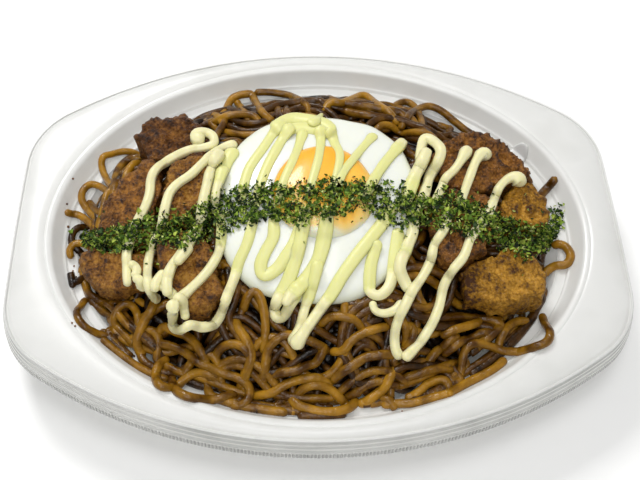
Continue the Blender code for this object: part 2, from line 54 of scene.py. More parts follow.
# %% [markdown]
# ## Colours, nodes and meshes
#
# A colour picker shows sRGB values, while Blender's shaders want linear ones, so one function
# turns hex colours. A texture's scale counts cells in a metre, so another function turns a real
# size in mm to it. One function adds a shader node. One function puts arrays of points and faces
# into a mesh: this is far quicker than adding faces one by one, and it is how every new piece
# below reaches Blender.


# %% Turn a colour and add a node
def linear(code):
    """Turn an sRGB hex colour to linear RGBA: ((c + 0.055) / 1.055) to the power 2.4, or c / 12.92 where dark."""
    channels = np.array([int(code[i:i + 2], 16) for i in (1, 3, 5)]) / 255.0
    bright = ((channels + 0.055) / 1.055) ** 2.4
    return (*np.where(channels <= 0.04045, channels / 12.92, bright), 1.0)


def set_inputs(tree, node, inputs):
    """Give a node its inputs: a value is set; another node's socket, or a node's first output, is linked."""
    for key, value in inputs.items():
        if isinstance(value, bpy.types.Node):
            value = value.outputs[0]
        if isinstance(value, bpy.types.NodeSocket):
            tree.links.new(value, node.inputs[key])
        else:
            node.inputs[key].default_value = value


def add_node(tree, kind, inputs=None, stops=None, **settings):
    """Add a node with its settings and inputs; stops are the places and colours of a ramp."""
    node = tree.nodes.new(kind)
    for name, value in settings.items():
        setattr(node, name, value)
    set_inputs(tree, node, inputs or {})
    if stops:
        ramp = node.color_ramp.elements
        while len(ramp) < len(stops):
            ramp.new(0.5)
        for element, (place, code) in zip(ramp, stops):
            element.position = place
            element.color = linear(code)
    return node


def cells_per_metre(size):
    """Scale of a noise texture whose spots have a real size in mm: one over that size in metres."""
    return 1.0 / (size * MM)


def start_finish(name, constants):
    """Start a Principled material whose constants are set on the shader's own sockets."""
    material = bpy.data.materials.new(name)
    material.use_nodes = True
    tree = material.node_tree
    shader = tree.nodes["Principled BSDF"]
    set_inputs(tree, shader, constants)
    return material, tree, shader


# %% Put arrays into a mesh
def grid_faces(rows, columns, closed_rows=False, closed_columns=True):
    """Quads between neighbouring rows and columns of a grid of points, numbered row by row."""
    row = np.arange(rows if closed_rows else rows - 1)[:, None]
    column = np.arange(columns if closed_columns else columns - 1)[None, :]
    below = row * columns
    above = (row + 1) % rows * columns
    following = (column + 1) % columns
    return np.stack([below + column, below + following, above + following, above + column], axis=-1).reshape(-1, 4)


def capped_faces(rows, columns):
    """Faces of a closed skin: rings of points, then one point that closes the first ring and one the last."""
    quads = grid_faces(rows, columns)
    column = np.arange(columns)
    following = (column + 1) % columns
    first = rows * columns
    last = (rows - 1) * columns
    near = np.stack([np.full(columns, first), following, column], axis=-1)
    far = np.stack([np.full(columns, first + 1), last + column, last + following], axis=-1)
    return quads, np.vstack([near, far])


def add_piece(name, points, faces, material, nodes, values=None):
    """Make a smooth piece from points in mm and arrays of faces; it rides on the root and stands for CAD nodes."""
    mesh = bpy.data.meshes.new(name)
    mesh.vertices.add(len(points))
    mesh.vertices.foreach_set("co", (np.asarray(points) * MM).astype(np.float32).ravel())
    corners = np.concatenate([group.ravel() for group in faces]).astype(np.int32)
    counts = np.concatenate([np.full(len(group), group.shape[1]) for group in faces])
    mesh.loops.add(len(corners))
    mesh.loops.foreach_set("vertex_index", corners)
    mesh.polygons.add(len(counts))
    mesh.polygons.foreach_set("loop_start", np.concatenate([[0], np.cumsum(counts)[:-1]]).astype(np.int32))
    mesh.update(calc_edges=True)
    mesh.shade_smooth()
    for key, column in (values or {}).items():
        attribute = mesh.attributes.new(key, "FLOAT", "POINT")
        attribute.data.foreach_set("value", np.asarray(column, np.float32))
    mesh.materials.append(material)
    piece = bpy.data.objects.new(name, mesh)
    bpy.context.scene.collection.objects.link(piece)
    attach(piece, "root")
    if nodes:
        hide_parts(*nodes)
    print(f"{name}: {int((counts - 2).sum())} triangles")
    return piece


# %% [markdown]
# ## Curves and rough surfaces
#
# Food has no straight lines, so outlines and strands are smooth curves through a few points,
# and crusts are roughened by a field of random values: values on a cubic lattice, blended
# between the lattice points, and added up at several sizes. Blender's own curve objects and
# noise could do this too, but arrays can then be bent to whatever lies under them.


# %% Curves through points
CURVE_SAMPLES = 12
TINY = 1e-9


def through(points, closed):
    """Pass a Catmull-Rom curve through points: each stretch is a cubic of the four points around it."""
    knots = np.array(points, float)
    if closed:
        padded = np.vstack([knots[-1], knots, knots[:2]])
    else:
        padded = np.vstack([2 * knots[0] - knots[1], knots, 2 * knots[-1] - knots[-2]])
    t = np.linspace(0.0, 1.0, CURVE_SAMPLES, endpoint=False)[:, None]
    curve = []
    for a, b, c, d in zip(padded, padded[1:], padded[2:], padded[3:]):
        curve.append(0.5 * (2 * b + (c - a) * t + (2 * a - 5 * b + 4 * c - d) * t ** 2
                            + (3 * b - 3 * c + d - a) * t ** 3))
    return np.vstack(curve + [padded[1] if closed else knots[-1]])


def evenly(curve, step):
    """Spread points a step apart along a dense curve, both ends included."""
    gaps = np.linalg.norm(np.diff(curve, axis=0), axis=1)
    along = np.concatenate([[0.0], np.cumsum(gaps)])
    targets = np.linspace(0.0, along[-1], max(4, round(along[-1] / step) + 1))
    return np.column_stack([np.interp(targets, along, curve[:, k]) for k in range(curve.shape[1])])


def soften(values, turns):
    """Average each value with its neighbours along the first axis, over and over, with the ends repeated."""
    for _ in range(turns):
        wide = np.concatenate([values[:1], values, values[-1:]])
        values = 0.25 * wide[:-2] + 0.5 * wide[1:-1] + 0.25 * wide[2:]
    return values


def level_aside(plan):
    """Unit directions across a line in plan: its own direction turned a quarter to the left."""
    ahead = np.gradient(plan, axis=0)
    ahead /= np.maximum(np.linalg.norm(ahead, axis=1)[:, None], TINY)
    return np.column_stack([-ahead[:, 1], ahead[:, 0]])


def circle(sides):
    """Points on a circle of radius 1: cosine and sine of even turns."""
    turn = np.linspace(0.0, 2.0 * math.pi, sides, endpoint=False)
    return np.column_stack([np.cos(turn), np.sin(turn)])


def level_ring(plan, z):
    """A ring of points in plan, all at one height."""
    return np.column_stack([plan, np.full(len(plan), z)])


# %% Random fields
LATTICE_SIZE = 32
LATTICE_SEED = 3
LATTICE = np.random.default_rng(LATTICE_SEED).random((LATTICE_SIZE,) * 3)
LAYER_SHIFT = 17.3


def bumps(points, size):
    """A smooth field from -1 to 1: random values on a lattice of this size in mm, blended by 3t² - 2t³."""
    cell = np.asarray(points) / size
    whole = np.floor(cell).astype(int)
    part = cell - whole
    part = part * part * (3.0 - 2.0 * part)
    total = 0.0
    for corner in np.ndindex(2, 2, 2):
        weight = np.prod(np.where(corner, part, 1.0 - part), axis=-1)
        x, y, z = np.moveaxis((whole + corner) % LATTICE_SIZE, -1, 0)
        total = total + weight * LATTICE[x, y, z]
    return 2.0 * total - 1.0


def plan_bumps(places, size):
    """The same field read at height 0, so that it goes by the place in plan alone."""
    plan = np.asarray(places)[..., :2]
    return bumps(np.concatenate([plan, np.zeros(plan.shape[:-1] + (1,))], axis=-1), size)


def roughness(points, size, layers, gain=0.5):
    """Add up fields of half the size and a share of the strength each time."""
    return sum(gain ** k * bumps(np.asarray(points) + LAYER_SHIFT * k, size / 2 ** k) for k in range(layers))


# %% [markdown]
# ## The camera first
#
# The strokes of mayonnaise and the noodles that stand out are placed by where the photograph
# shows them, so the camera's position comes before them. It looks down at 60 degrees from the
# near side, turned a little. A pixel of the 640 by 480 picture is a ray from the camera, and
# following the ray down to the food gives the place in plan.

# %% Camera position and rays
CAMERA_ELEVATION = 60.0
CAMERA_AZIMUTH = -4.54
CAMERA_ROLL = 3.36
CAMERA_DISTANCE = 378.0
CAMERA_TARGET = (1.1, 10.4, 0.0)
FOCAL_PIXELS = 886.3
PICTURE_WIDTH = 640
PICTURE_HEIGHT = 480
SENSOR_WIDTH = 36.0
PIXELS_PER_MM = 2.34


def camera_axes():
    """The picture's right and up directions, the way back to the camera, and the camera's place in mm."""
    elevation, azimuth, roll = np.radians([CAMERA_ELEVATION, CAMERA_AZIMUTH, CAMERA_ROLL])
    back = np.array([np.sin(azimuth) * np.cos(elevation), -np.cos(azimuth) * np.cos(elevation), np.sin(elevation)])
    level = np.array([np.cos(azimuth), np.sin(azimuth), 0.0])
    upright = np.cross(back, level)
    right = np.cos(roll) * level + np.sin(roll) * upright
    up = -np.sin(roll) * level + np.cos(roll) * upright
    return right, up, back, np.array(CAMERA_TARGET) + back * CAMERA_DISTANCE


RIGHT, UP, BACK, EYE = camera_axes()


def rays(pixels):
    """Direction of the ray through each pixel: right and up by its offset over the focal length, and forwards."""
    offset = (np.array(pixels, float) - (PICTURE_WIDTH / 2, PICTURE_HEIGHT / 2)) / FOCAL_PIXELS
    return offset[:, :1] * RIGHT - offset[:, 1:] * UP - BACK


print("camera in mm:", EYE.round(1))

# %% [markdown]
# ## A height field to lay things on
#
# A noodle lies on what is under it. A simulation of ropes could find that out, but it is slow
# and gives another tangle each time. Here a grid over the tray holds the height of what has
# been laid so far. A strand reads the grid along its path, bridges the dips that it is too
# stiff to follow, and then raises the grid by its own thickness. The order of laying then gives
# the overlaps, as in a real heap.

# %% Sizes of the tray and the heap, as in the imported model
SHEET = 0.7
RIM_HALF_LENGTH = 118.0
RIM_HALF_WIDTH = 87.0
RIM_SIDE_RADIUS = 187.5
RIM_END_RADIUS = 1296.0
RIM_CORNER_RADIUS = 30.8
RIM_Z = 30.0
BOWL_PROFILE = (
    (84.0, 60.0, SHEET),
    (87.0, 63.0, 3.0),
    (95.2, 70.8, 20.4),
    (99.6, 75.2, 21.7),
    (104.0, 79.0, 29.4),
    (106.0, 81.0, RIM_Z),
)
HEAP_HALF_LENGTH = 93.0
HEAP_HALF_WIDTH = 68.4
HEAP_EDGE_Z = 19.2
HEAP_RISE = 21.8
HEAP_POWER = 3.2
HEAP_FAR_LIFT = 0.0015
LEDGE_REACH = 0.95
LEDGE_CLEAR_Z = 21.4
REST = 0.9


def reach_of(x, y):
    """Share of the way from the heap's middle to its edge."""
    return np.hypot(x / HEAP_HALF_LENGTH, y / HEAP_HALF_WIDTH)


def heap_height(x, y):
    """Height of the dome: the edge plus a rise that falls off as the reach to the power 3.2."""
    reach = np.minimum(reach_of(x, y), 1.0)
    return HEAP_EDGE_Z + HEAP_RISE * (1.0 - reach ** HEAP_POWER) * (1.0 + HEAP_FAR_LIFT * y)


def rest_height(plan):
    """Height that a topping rests on: the dome, and past its edge a level clear of the ledge."""
    x, y = plan[..., 0], plan[..., 1]
    dome = heap_height(x, y)
    return np.where(reach_of(x, y) > LEDGE_REACH, np.maximum(dome, LEDGE_CLEAR_Z), dome)


# %% The grid and what it starts from
CELL = 0.5
GRID_HALF = np.array([112.0, 86.0])
grid_axes = [np.arange(-half, half + CELL, CELL) for half in GRID_HALF]
grid_plan = np.stack(np.meshgrid(*grid_axes, indexing="ij"), axis=-1)
CORE_SINK = 4.4
CORE_SHARE = 0.955
CORE_BUMP = 0.7
CORE_BUMP_SIZE = 6.0


def tray_height(plan):
    """Height of the bowl's upper face: between two ellipses of its profile, by how far each is passed."""
    x, y = plan[..., 0], plan[..., 1]
    height = np.full(x.shape, SHEET)
    for (a, b, low), (c, d, high) in zip(BOWL_PROFILE, BOWL_PROFILE[1:]):
        past = np.hypot(x / a, y / b) - 1.0
        short = np.hypot(x / c, y / d) - 1.0
        share = np.clip(past / np.maximum(past - short, 1e-6), 0.0, 1.0)
        height = np.where(past > 0.0, low + (high - low) * share, height)
    return height


def core_height(plan):
    """Height of the dark core under the strands: the dome, shrunk and sunk, with soft bumps."""
    x, y = plan[..., 0] / CORE_SHARE, plan[..., 1] / CORE_SHARE
    soft = CORE_BUMP * plan_bumps(plan, CORE_BUMP_SIZE)
    return np.where(reach_of(x, y) < 1.0, heap_height(x, y) - CORE_SINK + soft, 0.0)


def height_at(field, plan):
    """Read the grid between its cells: the four corners weighted by nearness."""
    spot = np.clip((plan + GRID_HALF) / CELL, 0.0, np.array(field.shape) - 1.001)
    i, j = np.moveaxis(spot.astype(int), -1, 0)
    u, v = np.moveaxis(spot - np.floor(spot), -1, 0)
    near = field[i, j] * (1.0 - v) + field[i, j + 1] * v
    far = field[i + 1, j] * (1.0 - v) + field[i + 1, j + 1] * v
    return near * (1.0 - u) + far * u


def raise_field(field, points):
    """Lift the grid to the height of points where they are above it."""
    spot = np.rint((points[..., :2] + GRID_HALF) / CELL).astype(int)
    spot = np.clip(spot, 0, np.array(field.shape) - 1)
    np.maximum.at(field, (spot[..., 0].ravel(), spot[..., 1].ravel()), points[..., 2].ravel())


ground = np.maximum(tray_height(grid_plan), core_height(grid_plan))
print("grid cells:", ground.shape, "core top:", round(float(ground.max()), 1))


# %% From a pixel down to the food
# Heights in mm at which a ray is tested, from above the food down to the table
CAST_LEVELS = np.arange(62.0, 0.0, -0.2)


def cast(pixels, field, lift):
    """Place in plan of each pixel: the first level at which its ray is no higher than the grid plus a lift."""
    ray = rays(pixels)
    reach = (CAST_LEVELS[None, :] - EYE[2]) / ray[:, 2:]
    plan = EYE[:2] + reach[..., None] * ray[:, None, :2]
    met = CAST_LEVELS[None, :] <= height_at(field, plan) + lift
    return plan[np.arange(len(ray)), met.argmax(axis=1)]


def at_height(pixels, height):
    """Place in plan where the ray through each pixel reaches a height."""
    ray = rays(pixels)
    return EYE[:2] + ray[:, :2] * ((height - EYE[2]) / ray[:, 2])[:, None]


# %% [markdown]
# ## Strands
#
# Noodles and mayonnaise are both strands: a soft round section carried along a path. A curve
# with a bevel would give a plain tube. A skin made by arrays also takes ridges, a flatter
# section and a width that changes. The section's own directions come from the path's direction
# and from straight up, and the ends close in a rounded tip. Each strand keeps a random number
# of its own, so that the material can make one strand paler or browner than the next.


# %% Lay a strand on the grid
# Where a strand's width is carried, and the places across it that raise the grid, as shares of its radius
CARRIED_SHARES = (-0.6, 0.0, 0.6)
TOP_SHARES = np.linspace(-0.95, 0.95, 9)
LAY_ROUNDS = 3
# A tip starts at this share of its length; a second, weaker set of ridges has two more, shifted round
TIP_START = 0.02
SECOND_RIDGES = 0.6
SKIN_SEED = 21


def settle(plan, field, radius, sink, stiffness):
    """Height of a limp strand's middle: no lower than what carries its width, bridging what it can't follow.

    Over and over, each height becomes the larger of what carries it and the mean of its neighbours.
    """
    aside = level_aside(plan)
    under = np.max([height_at(field, plan + aside * radius * share) for share in CARRIED_SHARES], axis=0)
    carried = under + radius - sink
    height = carried
    for _ in range(stiffness):
        height = np.maximum(carried, soften(height, 1))
    return soften(height, 3)


def lay(pixels, step, field, radius, sink, stiffness):
    """Plan and height of a strand seen through pixels: settle it, move it back under its pixels, and again."""
    line = evenly(through(pixels, False), step * PIXELS_PER_MM)
    plan = soften(cast(line, field, radius), 3)
    for _ in range(LAY_ROUNDS):
        height = settle(plan, field, radius, sink, stiffness)
        plan = soften(at_height(line, height), 2)
    return plan, height


def strand_top(path, radius):
    """Points over the upper half of a strand: its middle plus a half circle across it."""
    across = TOP_SHARES[:, None, None]
    lift = np.sqrt(1.0 - across ** 2) * np.array([0.0, 0.0, 1.0])
    return path + radius * (across * level_ring(level_aside(path[:, :2]), 0.0) + lift)


def strand_skin(path, radii, sides, flat=1.0, ridges=0, ridge_depth=0.0):
    """Carry a round section along a path: middle + radius (cos of the turn aside + sin of the turn upwards).

    The radius closes as a quarter circle over its own length at both ends.
    """
    ahead = np.gradient(path, axis=0)
    ahead /= np.linalg.norm(ahead, axis=1)[:, None]
    aside = np.cross(ahead, (0.0, 0.0, 1.0))
    aside /= np.maximum(np.linalg.norm(aside, axis=1)[:, None], 1e-6)
    upwards = np.cross(aside, ahead)
    along = np.concatenate([[0.0], np.cumsum(np.linalg.norm(np.diff(path, axis=0), axis=1))])
    left = np.minimum(along, along[-1] - along)
    tip = np.sqrt(1.0 - (1.0 - np.clip(left / radii, TIP_START, 1.0)) ** 2)
    turn = np.linspace(0.0, 2.0 * math.pi, sides, endpoint=False)
    ribbed = 1.0 + ridge_depth * (np.cos(ridges * turn) + SECOND_RIDGES * np.cos((ridges + 2) * turn + 1.0))
    size = (radii * tip)[:, None, None]
    rings = path[:, None] + size * (
        (ribbed * np.cos(turn))[None, :, None] * aside[:, None]
        + (ribbed * np.sin(turn))[None, :, None] * upwards[:, None] * np.reshape(flat, (-1, 1, 1)))
    points = np.vstack([rings.reshape(-1, 3), path[:1], path[-1:]])
    return points, capped_faces(len(path), sides)


def join_skins(skins, least=0.0, most=1.0):
    """Put skins one after another into one set of arrays, with a random number between two bounds for each."""
    draw = np.random.default_rng(SKIN_SEED)
    starts = np.cumsum([0] + [len(points) for points, _ in skins])
    points = np.vstack([points for points, _ in skins])
    quads = np.vstack([faces[0] + start for (_, faces), start in zip(skins, starts)])
    triangles = np.vstack([faces[1] + start for (_, faces), start in zip(skins, starts)])
    tint = np.repeat(draw.uniform(least, most, len(skins)), [len(points) for points, _ in skins])
    return points, (quads, triangles), tint


# %% [markdown]
# ## The tray
#
# The tray is one thin sheet of white plastic drawn over a mould: a flat floor, a steep wall, a
# narrow ledge, a second wall, a wide flat flange and a short stepped skirt. It could be
# extruded ring by ring by hand, but a profile carried round the rim keeps every fold even. The
# bowl's rings are ellipses and the rim is made of arcs. Every ring has the same number of
# points, so the sheet runs smoothly from one to the other, and Solidify gives it its thickness.

# %% Rim line and tray
# Points on a quarter of the rim: along its end, its corner and its side
RIM_STEPS = (10, 30, 34)
# Half length, half width and height of each fold between the two walls: a bead at both edges of the ledge
LEDGE_EDGE = ((95.4, 71.0, 21.0), (95.7, 71.3, 21.35), (96.0, 71.6, 21.3), (96.4, 72.0, 20.7), (99.2, 74.8, 21.2),
              (99.6, 75.2, 21.2), (99.8, 75.4, 22.3), (100.1, 75.7, 22.75), (100.6, 76.2, 22.8))
FLANGE_FOLD = ((106.4, 81.4, 29.6), (106.8, 81.8, 30.0))
FLOOR_SHARES = (0.1, 0.9)
DRAWN_PROFILE = BOWL_PROFILE[:3] + LEDGE_EDGE + BOWL_PROFILE[4:] + FLANGE_FOLD
# How far outside the rim line, and how high: the groove inside the lip, and the steps of the skirt
RIM_LIP = ((-1.7, 30.0), (-1.35, 29.45), (-1.0, 29.5), (-0.7, 30.15), (-0.1, 30.1))
SKIRT_PROFILE = RIM_LIP + ((0.15, 29.4), (0.25, 27.9), (0.75, 27.6), (0.85, 25.6), (1.45, 25.2), (1.6, 22.9),
                           (2.0, 22.6), (2.15, 20.1), (2.4, 19.5))
CROWN = 0.7
CROWN_BIAS = 0.55
# The ribs stand on the skirt's lowest steep row; a row is steep where it drops this much more than it runs out
RIB_PITCH = 1.3
RIB_TOP_Z = 22.7
STEEP = 2.0
TRAY_ROW = 0.8
TRAY_MOST_ROWS = 18


def rim_line():
    """Points and outward directions round the rim: arcs of the end, the corner and the side, mirrored twice."""
    side_centre = np.array([0.0, RIM_HALF_WIDTH - RIM_SIDE_RADIUS])
    end_centre = np.array([RIM_HALF_LENGTH - RIM_END_RADIUS, 0.0])
    near_side = RIM_SIDE_RADIUS - RIM_CORNER_RADIUS
    near_end = RIM_END_RADIUS - RIM_CORNER_RADIUS
    between = end_centre - side_centre
    gap = np.linalg.norm(between)
    unit = between / gap
    along = (near_side ** 2 - near_end ** 2 + gap ** 2) / (2.0 * gap)
    across = np.array([-unit[1], unit[0]]) * math.sqrt(near_side ** 2 - along ** 2)
    foot = side_centre + unit * along
    corner = max((foot + across, foot - across), key=lambda point: point[0] + point[1])
    end_turn = math.atan2(*(corner - end_centre)[::-1])
    side_turn = math.atan2(*(corner - side_centre)[::-1])
    stretches = (
        (end_centre, RIM_END_RADIUS, 0.0, end_turn),
        (corner, RIM_CORNER_RADIUS, end_turn, side_turn),
        (side_centre, RIM_SIDE_RADIUS, side_turn, math.pi / 2),
    )
    points, outward = [], []
    for (centre, radius, start, stop), steps in zip(stretches, RIM_STEPS):
        turn = np.linspace(start, stop, steps, endpoint=False)[:, None]
        direction = np.hstack([np.cos(turn), np.sin(turn)])
        points.append(centre + radius * direction)
        outward.append(direction)
    points, outward = np.vstack(points), np.vstack(outward)
    half = np.vstack([points, [[0.0, RIM_HALF_WIDTH]], points[:0:-1] * (-1, 1)])
    half_out = np.vstack([outward, [[0.0, 1.0]], outward[:0:-1] * (-1, 1)])
    return np.vstack([half, -half]), np.vstack([half_out, -half_out])


def tray_rings():
    """Rings from the floor's middle to the skirt's foot, split into short rows; the flange swells by a half sine."""
    line, outward = rim_line()
    turn = np.arctan2(line[:, 1] / RIM_HALF_WIDTH, line[:, 0] / RIM_HALF_LENGTH)
    around = np.column_stack([np.cos(turn), np.sin(turn)])
    corners = [level_ring(share * np.array(BOWL_PROFILE[0][:2]) * around, SHEET) for share in FLOOR_SHARES]
    corners += [level_ring(around * (length, width), z) for length, width, z in DRAWN_PROFILE]
    corners += [level_ring(line + outward * outside, z) for outside, z in SKIRT_PROFILE]
    rows = []
    flange = len(DRAWN_PROFILE) + 1
    for place, (inner, outer) in enumerate(zip(corners, corners[1:])):
        steps = max(2, round(float(np.linalg.norm(outer - inner, axis=1).min()) / TRAY_ROW))
        for share in np.linspace(0.0, 1.0, min(steps, TRAY_MOST_ROWS), endpoint=False):
            crown = CROWN * math.sin(math.pi * share ** CROWN_BIAS) if place == flange else 0.0
            rows.append(inner + (outer - inner) * share + (0.0, 0.0, crown))
    return soften(np.array(rows + [corners[-1]]), 1)


rings = tray_rings()
print("tray rings:", rings.shape)

# %% [markdown]
# ## Finish: thermoformed polystyrene
#
# The sheet is white polystyrene, drawn warm over a mould, so it is smooth and glossy with very
# soft waves. It is a little milky: some light goes through the thin wall. The ribs of the skirt
# are finer than the mesh, so they are a bump: a sine of the way round the rim, kept to the
# skirt's lowest row by an attribute. The same sine darkens the ribs' hollows as painted shade,
# and another attribute greys the skirt's steep rows with painted shade.

# %% Tray finish and piece
def make_polystyrene():
    """White thermoformed polystyrene: near white, low roughness, faint waves of the drawn sheet, and ribs, with
    painted shade on the skirt's steep rows and in the ribs' hollows.
    """
    material, tree, shader = start_finish("thermoformed_polystyrene", {
        "Roughness": 0.27, "IOR": 1.5, "Specular IOR Level": 0.45, "Subsurface Weight": 0.5,
        "Subsurface Scale": 0.012, "Subsurface Radius": (1.0, 1.0, 0.95)})
    place = add_node(tree, "ShaderNodeTexCoord").outputs["Object"]
    waves = add_node(tree, "ShaderNodeTexNoise", {"Vector": place, "Scale": cells_per_metre(22.2), "Detail": 2.0})
    along, ribbed, riser_shade = [add_node(tree, "ShaderNodeAttribute", attribute_name=name).outputs["Fac"]
                            for name in ("along", "ribbed", "riser_shade")]
    turns = add_node(tree, "ShaderNodeMath", {0: along, 1: 2.0 * math.pi / RIB_PITCH}, operation="MULTIPLY")
    sine = add_node(tree, "ShaderNodeMath", {0: turns}, operation="SINE")
    height = add_node(tree, "ShaderNodeMath", {0: sine, 1: ribbed}, operation="MULTIPLY")
    # Painted shade: the colour falls on the skirt's steep rows and in the ribs' hollows, and wavers with the waves
    shaded = add_node(tree, "ShaderNodeMath", {0: riser_shade, 1: -0.7, 2: waves}, operation="MULTIPLY_ADD")
    rib_shaded = add_node(tree, "ShaderNodeMath", {0: height, 1: 0.25, 2: shaded}, operation="MULTIPLY_ADD")
    lifted = add_node(tree, "ShaderNodeMath", {0: rib_shaded, 1: 0.5}, operation="ADD")
    tone = add_node(tree, "ShaderNodeValToRGB", {"Fac": lifted},
                    stops=((0.0, "#9b9c98"), (0.75, "#e4e4de"), (1.0, "#eeeee9")))
    bump = add_node(tree, "ShaderNodeBump", {"Height": waves, "Strength": 0.05, "Distance": 0.002})
    ribs = add_node(tree, "ShaderNodeBump", {"Height": height, "Strength": 0.8, "Distance": 0.0004, "Normal": bump})
    set_inputs(tree, shader, {"Base Color": tone, "Normal": ribs})
    return material


polystyrene = make_polystyrene()
ring_points = rings.shape[1]
tray_points = np.vstack([rings.reshape(-1, 3), [[0.0, 0.0, SHEET]]])
middle = len(tray_points) - 1
columns = np.arange(ring_points)
floor_faces = np.column_stack([np.full(ring_points, middle), columns, (columns + 1) % ring_points])
tray_quads = grid_faces(len(rings), ring_points)[:, ::-1]
rim_steps = np.linalg.norm(np.diff(rings[-1], axis=0), axis=1)
rim_length = np.concatenate([[0.0], np.cumsum(rim_steps)])
run = np.linalg.norm(np.gradient(rings, axis=0)[..., :2], axis=-1).mean(axis=1)
drop = -np.gradient(rings[..., 2].mean(axis=1))
# The skirt's steep rows get painted shade in the sheet's colour
riser_shade = (drop > STEEP * run).astype(float)
ribbed_rows = riser_shade * (rings[..., 2].mean(axis=1) < RIB_TOP_Z)
tray_values = {
    "along": np.append(np.tile(rim_length, len(rings)), 0.0),
    "ribbed": np.append(np.repeat(ribbed_rows, ring_points), 0.0),
    "riser_shade": np.append(np.repeat(riser_shade, ring_points), 0.0),
}
print("rows of the skirt's risers:", int(riser_shade.sum()), "of", len(rings))
tray = add_piece("tray_sheet", tray_points, (tray_quads, floor_faces), polystyrene, ["tray"], tray_values)
sheet = tray.modifiers.new("sheet", "SOLIDIFY")
sheet.thickness = SHEET * MM
sheet.offset = -1.0

# %% [markdown]
# ## The noodles
#
# The noodles are thin wheat noodles, steamed and then fried in sauce: each is about 3 to 3.6 mm
# thick, nearly round, and bends in loose waves and loops. They lie in a heap with dark gaps. One
# mesh with a noodle texture would look flat, so each strand that can be seen is modelled, and a
# dark core fills the heap's inside. Loose strands are laid one after another where the heap is
# still lowest, in bundles of up to three that run side by side. The strands that the photograph
# shows best are laid last, from the pixels that they pass through.

# %% Where the toppings lie
EGG_CENTRE = np.array([1.0, 3.5])
EGG_OUTLINE = (
    (-1, 46), (-16, 44), (-29, 33), (-37, 18), (-39, -3), (-36, -21), (-25, -33),
    (-8, -38), (12, -37), (27, -26), (34, -8), (36, 9), (33, 27), (19, 41),
)
PORK_OUTLINES = {
    "pork_left_back": ((-70, 44), (-57, 47), (-47, 42), (-42, 32), (-46, 24.5), (-56, 24.5), (-65, 27), (-73, 34)),
    "pork_left_inner": ((-56, 22.5), (-44, 22), (-42, 12), (-43.5, 1), (-51, -8), (-59, -10), (-60, 6)),
    "pork_left_outer": ((-76, 19), (-67, 24), (-61.5, 19), (-61.5, 5), (-63, -10), (-70, -13), (-86, -9), (-83, 6)),
    "cutlet_left_front": ((-93, -13), (-85, -11), (-72, -15), (-64.5, -19), (-62, -27), (-71, -30.5), (-82, -28.5),
                          (-89, -21.5)),
    "cutlet_left_inner": ((-60, -13), (-48, -11), (-41.5, -17), (-38.5, -28), (-35.5, -36), (-41, -42.5), (-50, -40.5),
                          (-58, -30)),
    "pork_right_back": ((46, 25), (57, 36), (69, 38), (81, 27), (87, 20), (74, 14), (62, 8), (49, 9)),
    "pork_right_outer": ((74, 11.5), (84, 16), (90, 9), (91, -1), (84, -5.5), (72, -3), (70, 5)),
    "pork_right_inner": ((46, 6.5), (60, 6), (67, 0), (67, -12), (60, -20), (47, -26), (41.5, -20), (42, -8)),
    "cutlet_right_front": ((50, -27), (61, -21.5), (71, -16.5), (82, -17), (84, -26), (82, -35.5), (68, -38.5),
                           (51, -38.5)),
}


def inside(outline, plan):
    """True where a place is inside a closed outline: a line to the left crosses it an odd number of times."""
    x, y = plan[..., 0], plan[..., 1]
    odd = np.zeros(x.shape, bool)
    for (a, b), (c, d) in zip(outline, np.roll(outline, -1, axis=0)):
        crosses = (b > y) != (d > y)
        odd ^= crosses & (x < (c - a) * (y - b) / (d - b + 1e-12) + a)
    return odd


def grown(outline, margin):
    """Move each point of an outline away from its middle by a margin."""
    centre = outline.mean(axis=0)
    away = outline - centre
    return centre + away * (1.0 + margin / np.linalg.norm(away, axis=1)[:, None])


OUTLINE_STEP = 2.0
COVER_MARGIN = 0.8
NOODLE_RADIUS = 1.65
NO_CEILING = 90.0
covered = np.zeros(ground.shape, bool)
for shape in [EGG_OUTLINE, *PORK_OUTLINES.values()]:
    covered |= inside(grown(evenly(through(shape, True), OUTLINE_STEP)[:-1], COVER_MARGIN), grid_plan)
ceiling = np.where(covered, rest_height(grid_plan) + REST - NOODLE_RADIUS, NO_CEILING)
print("share of the grid under toppings:", round(float(covered.mean()), 3))

# %% Lay one noodle
# How far a strand may stand over the dome, in mm: in the heap, in the loose upper layer, and where it is seen best
LOOSE_MOST = 0.4
OVER_MOST = 2.2
SHOWN_MOST = 3.3
PRESSED = 0.5
END_DIVE = 3.4
END_REACH = 8.0
END_CURVE = 1.5
STRAND_STEP = 1.2
STRAND_SIDES = 10
RAISE_STEP = 0.45
# A noodle is a little uneven in thickness and a little oval in section
UNEVEN = 0.05
UNEVEN_SIZE = 9.0
OVAL_RIDGES = 2
OVAL_DEPTH = 0.04
STRAND_SEED = 8
strand_draw = np.random.default_rng(STRAND_SEED)
tray_field = tray_height(grid_plan)
noodle_field = ground.copy()
strands = []


def noodle(plan, radius, most, sink=0.5, stiffness=7):
    """Settle one noodle on the grid, press it down where it stands too high, tuck its ends in and raise the grid."""
    height = settle(plan, noodle_field, radius, sink, stiffness)
    above = height - heap_height(*plan.T) - most
    height = height - PRESSED * np.maximum(above, 0.0)
    height = np.minimum(height, height_at(ceiling, plan))
    ends = np.minimum(np.arange(len(plan)), np.arange(len(plan))[::-1]) * STRAND_STEP
    height = soften(height, 2) - END_DIVE * np.clip(1.0 - ends / END_REACH, 0.0, 1.0) ** END_CURVE
    height = np.maximum(height, height_at(tray_field, plan) + radius)
    path = np.column_stack([plan, height])
    raise_field(noodle_field, strand_top(evenly(path, RAISE_STEP), radius))
    thickness = radius * (1.0 + UNEVEN * bumps(path, UNEVEN_SIZE))
    strands.append(strand_skin(path, thickness, STRAND_SIDES, ridges=OVAL_RIDGES, ridge_depth=OVAL_DEPTH))


# %% Lay the loose strands
STRAND_COUNT = 112
OVER_COUNT = 30
